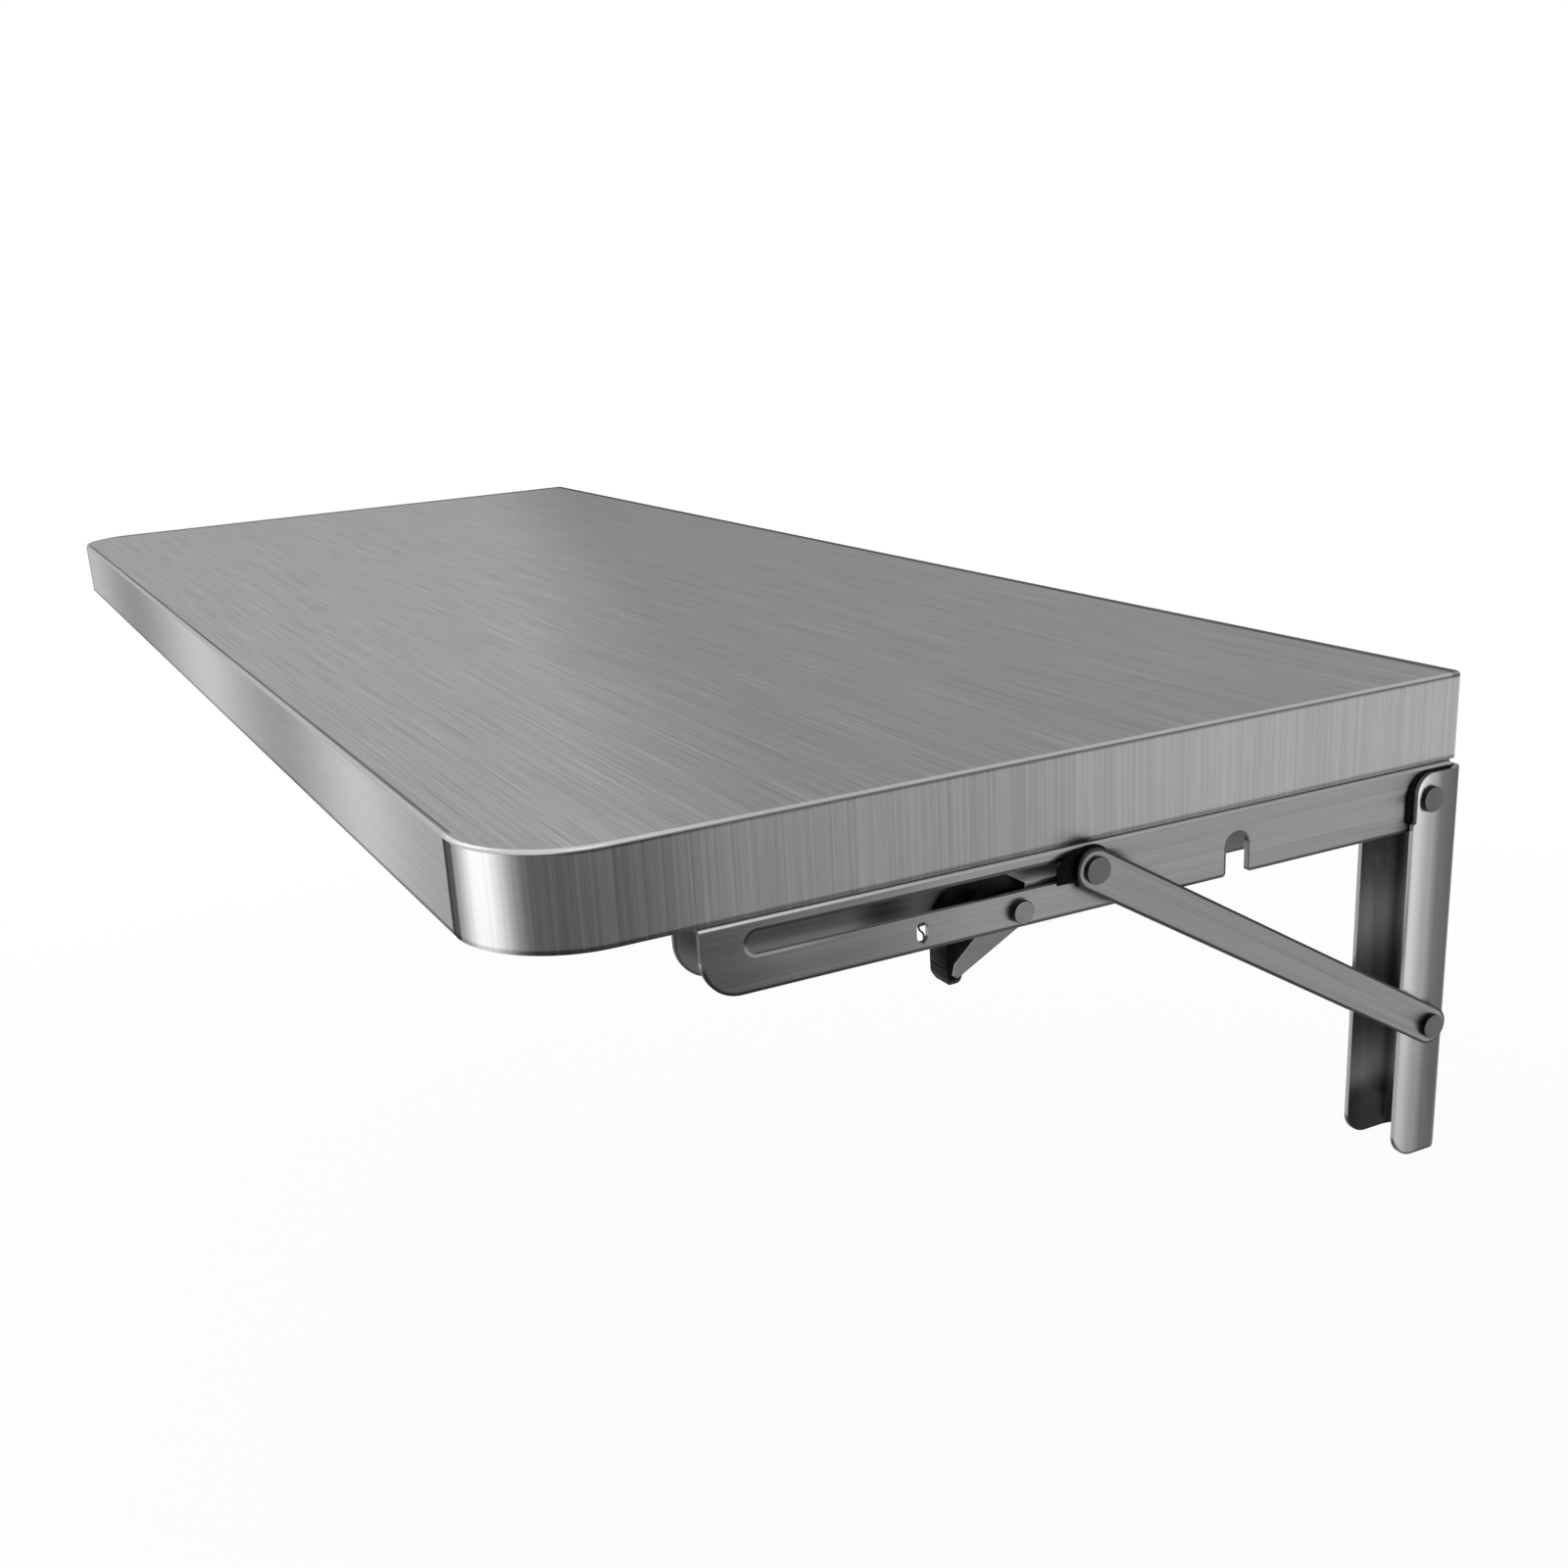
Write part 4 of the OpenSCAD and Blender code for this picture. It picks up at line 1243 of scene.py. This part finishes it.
@dataclass
class Bracket:
    """One folding bracket."""

    side: str
    paint: PaintShop
    cut_round: float = 0.6 * MM
    pin_round: float = 0.3 * MM
    thin_round: float = 0.1 * MM
    bush_round: float = 0.15 * MM
    grip_round: float = 0.8 * MM
    spring_hook: float = 2.5 * MM
    wire_growth: float = 0.07 * MM
    bar_width: float = 6 * MM
    bend_depth: float = 6 * MM
    web_half: float = 9 * MM
    mouth_depth: float = 16 * MM
    flat: float = 0.97

    def __post_init__(self) -> None:
        """Finds the bracket's middle plane."""
        low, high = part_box(f"arm_{self.side}")
        self.middle = (low[0] + high[0]) / 2

    def build(self) -> None:
        """Builds all pieces of the bracket."""
        brace, slider, lever = (f"{body}_{self.side}" for body in ("brace", "slider", "lever"))
        for kind, body, slot, face, edge in (
            ("wall_plate", "root", "bracket_steel", Finish.PLATE, Finish.EDGE),
            ("arm", "top", "bracket_steel", Finish.ARM, Finish.EDGE),
            ("brace_outer", brace, "brace_steel", Finish.BRACE, Finish.BRACE_EDGE),
            ("brace_inner", brace, "brace_steel", Finish.BRACE, Finish.BRACE_EDGE),
            ("release_lever", lever, "lever_steel", Finish.LEVER, Finish.LEVER_EDGE),
        ):
            self.pressed(kind, body, slot, face, edge)
        for kind, body, slot, finish, rounding in (
            ("pivot_pin", "root", "pin_steel", Finish.PIN, self.pin_round),
            ("lower_pin", "root", "pin_steel", Finish.PIN, self.pin_round),
            ("brace_rivets", brace, "pin_steel", Finish.PIN, self.pin_round),
            ("lever_pin", "top", "pin_steel", Finish.LEVER_PIN, self.pin_round),
            ("slider_shaft", slider, "pin_steel", Finish.PIN, self.pin_round),
            ("arm_screws", "top", "screw_steel", Finish.SCREW, self.pin_round),
            ("friction_liners", "root", "black_plastic", Finish.PLASTIC, self.thin_round),
            ("slider_bushes", slider, "black_plastic", Finish.PLASTIC, self.bush_round),
            ("lever_spacers", "top", "black_plastic", Finish.PLASTIC, self.thin_round),
            ("lever_grip", lever, "black_plastic", Finish.PLASTIC, self.grip_round),
        ):
            self.plain(kind, body, slot, finish, rounding)
        self.spring()

    def pressed(self, kind: str, body: str, slot: str, face: Finish, edge: Finish) -> None:
        """Makes a piece of pressed sheet with softened cut edges.

        Args:
            kind: the piece's name without its side.
            body: the body that it rides on.
            slot: the material slot of the record.
            face: finish of the outer faces.
            edge: finish of the cut edges.
        """
        node = f"{kind}_{self.side}"
        piece = Shop.copy_of(node, f"{node}_pressed")
        Shop.soften(piece, self.cut_round)
        low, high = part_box(node)
        folded = high[0] - low[0] > self.bar_width
        is_plate = kind == "wall_plate"

        def choose(centre: Vector, normal: Vector) -> Skin:
            """The finish of a face; a wall plate's bends take that of its outer faces.

            Args:
                centre: the middle of the face.
                normal: the direction in which it faces.

            Returns:
                The finish's number.
            """
            outward = (centre.x - self.middle) * normal.x
            if is_plate:
                if centre.y > high[1] - self.bend_depth:
                    return Skin.INNER if normal.y < -0.4 or outward < 0 else Skin.OUTER
            elif folded:
                if normal.z < -0.5 and abs(centre.x - self.middle) < self.web_half:
                    return Skin.INNER
                if centre.x < self.middle and centre.y < low[1] + self.mouth_depth:
                    return Skin.OUTER if normal.x < -self.flat else Skin.INNER
            if abs(normal.x) < self.flat:
                return Skin.EDGE
            return Skin.INNER if folded and outward < 0 else Skin.OUTER

        inner = Finish.INNER_PLATE if is_plate else Finish.INNER_ARM
        Shop.dress(piece, [self.paint[finish] for finish in (face, edge, inner)], choose)
        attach(piece, body)
        hand_over(piece, slot, node)

    def plain(self, kind: str, body: str, slot: str, finish: Finish, rounding: float) -> None:
        """Makes a piece of one finish with softened edges.

        Args:
            kind: the piece's name without its side.
            body: the body that it rides on.
            slot: the material slot of the record.
            finish: its finish.
            rounding: width of the softened edges, in metres.
        """
        node = f"{kind}_{self.side}"
        piece = Shop.copy_of(node, f"{node}_made")
        Shop.soften(piece, rounding)
        Shop.dress(piece, [self.paint[finish]])
        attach(piece, body)
        hand_over(piece, slot, node)

    def spring(self) -> None:
        """Makes the lever spring, whose wire runs from its hook in the arm to the grip."""
        node = f"lever_spring_{self.side}"
        piece = Shop.copy_of(node, f"{node}_wound")
        Shop.rounded(piece, self.wire_growth)
        Shop.dress(piece, [self.paint[Finish.WIRE]])
        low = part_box(node)[0]
        hook = (low[0], low[1] + self.spring_hook, low[2])
        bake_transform(piece)
        hand_over(piece, "spring_steel", node)


@dataclass(frozen=True)
class Lamp:
    """A square lamp."""

    name: str
    place: tuple[float, float, float]
    size: float
    power: float


@dataclass
class Studio:
    """Camera, light, floor and background."""

    focal_px: float = 1810.63
    centre_px: tuple[float, float] = (760.34, 904.10)
    image_px: float = 1600.0
    camera_place: tuple[float, float, float] = (0.992109, -0.547235, 0.292478)
    camera_forward: tuple[float, float, float] = (-0.85698, 0.401126, -0.323549)
    camera_up: tuple[float, float, float] = (-0.26503, 0.1954, 0.944234)
    floor_height: float = -0.75
    sensor: float = 36.0
    sight: Span = (0.01, 100.0)
    soft_light: float = 0.7
    lamp_aim: tuple[float, float, float] = (0.1, -0.2, 0.05)
    lamps: tuple[Lamp, ...] = (
        Lamp("key", (-0.9, -1.7, 1.6), 1.2, 14.0),
        Lamp("fill", (1.9, -0.4, 1.2), 1.0, 6.0),
    )
    floor_size: float = 60.0
    floor_tone: float = 0.97
    near_white: float = 0.9

    def build(self) -> None:
        """Sets up the whole studio."""
        self.place_camera()
        self.light_world()
        self.hang_lamps()
        self.lay_floor()
        bpy.context.scene.view_settings.view_transform = "Standard"

    def place_camera(self) -> None:
        """Puts the camera where the photograph was taken."""
        data = bpy.data.cameras.new("camera")
        camera = bpy.data.objects.new("camera", data)
        bpy.context.scene.collection.objects.link(camera)
        data.sensor_width = self.sensor
        data.lens = self.sensor * self.focal_px / self.image_px
        data.shift_x = (self.image_px / 2 - self.centre_px[0]) / self.image_px
        data.shift_y = (self.centre_px[1] - self.image_px / 2) / self.image_px
        data.clip_start, data.clip_end = self.sight
        forward = Vector(self.camera_forward).normalized()
        up = Vector(self.camera_up)
        right = forward.cross(up).normalized()
        up = right.cross(forward)
        turned = Matrix((right, up, -forward)).transposed().to_4x4()
        camera.matrix_world = Matrix.Translation(self.camera_place) @ turned
        bpy.context.scene.camera = camera

    def light_world(self) -> None:
        """White for the camera and in reflections, a plain soft light elsewhere."""
        world = bpy.data.worlds.new("studio")
        bpy.context.scene.world = world
        world.use_nodes = True
        g = Graph(world.node_tree)
        strength = g.seen() * (1.0 - self.soft_light) + self.soft_light
        light = g.make("ShaderNodeBackground", {}, {"Color": WHITE + (1.0,), "Strength": strength})
        g.make("ShaderNodeOutputWorld", {}, {"Surface": light.outputs[0]})

    def hang_lamps(self) -> None:
        """A large soft key from the front left and a weaker one from the right."""
        for lamp in self.lamps:
            data = bpy.data.lights.new(lamp.name, "AREA")
            data.size = lamp.size
            data.energy = lamp.power
            light = bpy.data.objects.new(lamp.name, data)
            bpy.context.scene.collection.objects.link(light)
            light.location = lamp.place
            aim = Vector(self.lamp_aim) - Vector(lamp.place)
            light.rotation_mode = "QUATERNION"
            light.rotation_quaternion = aim.to_track_quat("-Z", "Y")

    def lay_floor(self) -> None:
        """A plain pale floor far below the table."""
        bpy.ops.object.select_all(action="DESELECT")
        bpy.ops.mesh.primitive_plane_add(size=self.floor_size, location=(0.0, 0.0, self.floor_height))
        floor = bpy.context.object
        floor.name = "floor"
        Shop.dress(floor, [self.floor_paint()])

    def floor_paint(self) -> bpy.types.Material:
        """Pale paint that takes a soft shadow near the table and fades to white far away.

        Returns:
            The new material.
        """
        g = Coat("pale_floor")
        g.paint(self.floor_tone, WHITE)
        g.feed("Roughness", 0.9)
        g.feed("Specular IOR Level", 0.1)
        x, y, _ = g.place()
        far = (x * x + y * y).rise(0.5, 6.0)
        share = g.seen() * (far * (1.0 - self.near_white) + self.near_white)
        white = g.make("ShaderNodeEmission", {}, {"Color": WHITE + (1.0,), "Strength": 1.0})
        mix = g.make("ShaderNodeMixShader", {}, {0: share, 1: g.shader.outputs[0], 2: white.outputs[0]})
        g.join(g.output, "Surface", mix.outputs[0])
        return g.material


def main() -> None:
    """Builds the studio, the finishes and all pieces in order."""
    logging.basicConfig(level=logging.INFO, format="%(name)s: %(message)s")
    low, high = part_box("top_sheet")
    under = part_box("underside_panel")[0][2]
    table = TableShape(high[0], low[1], high[1], under, high[2])
    Studio().build()
    paint = PaintShop(table, BracketShape.measured())
    Tabletop(paint).build()
    for side in SIDES:
        Bracket(side, paint).build()


if __name__ == "__main__":
    main()
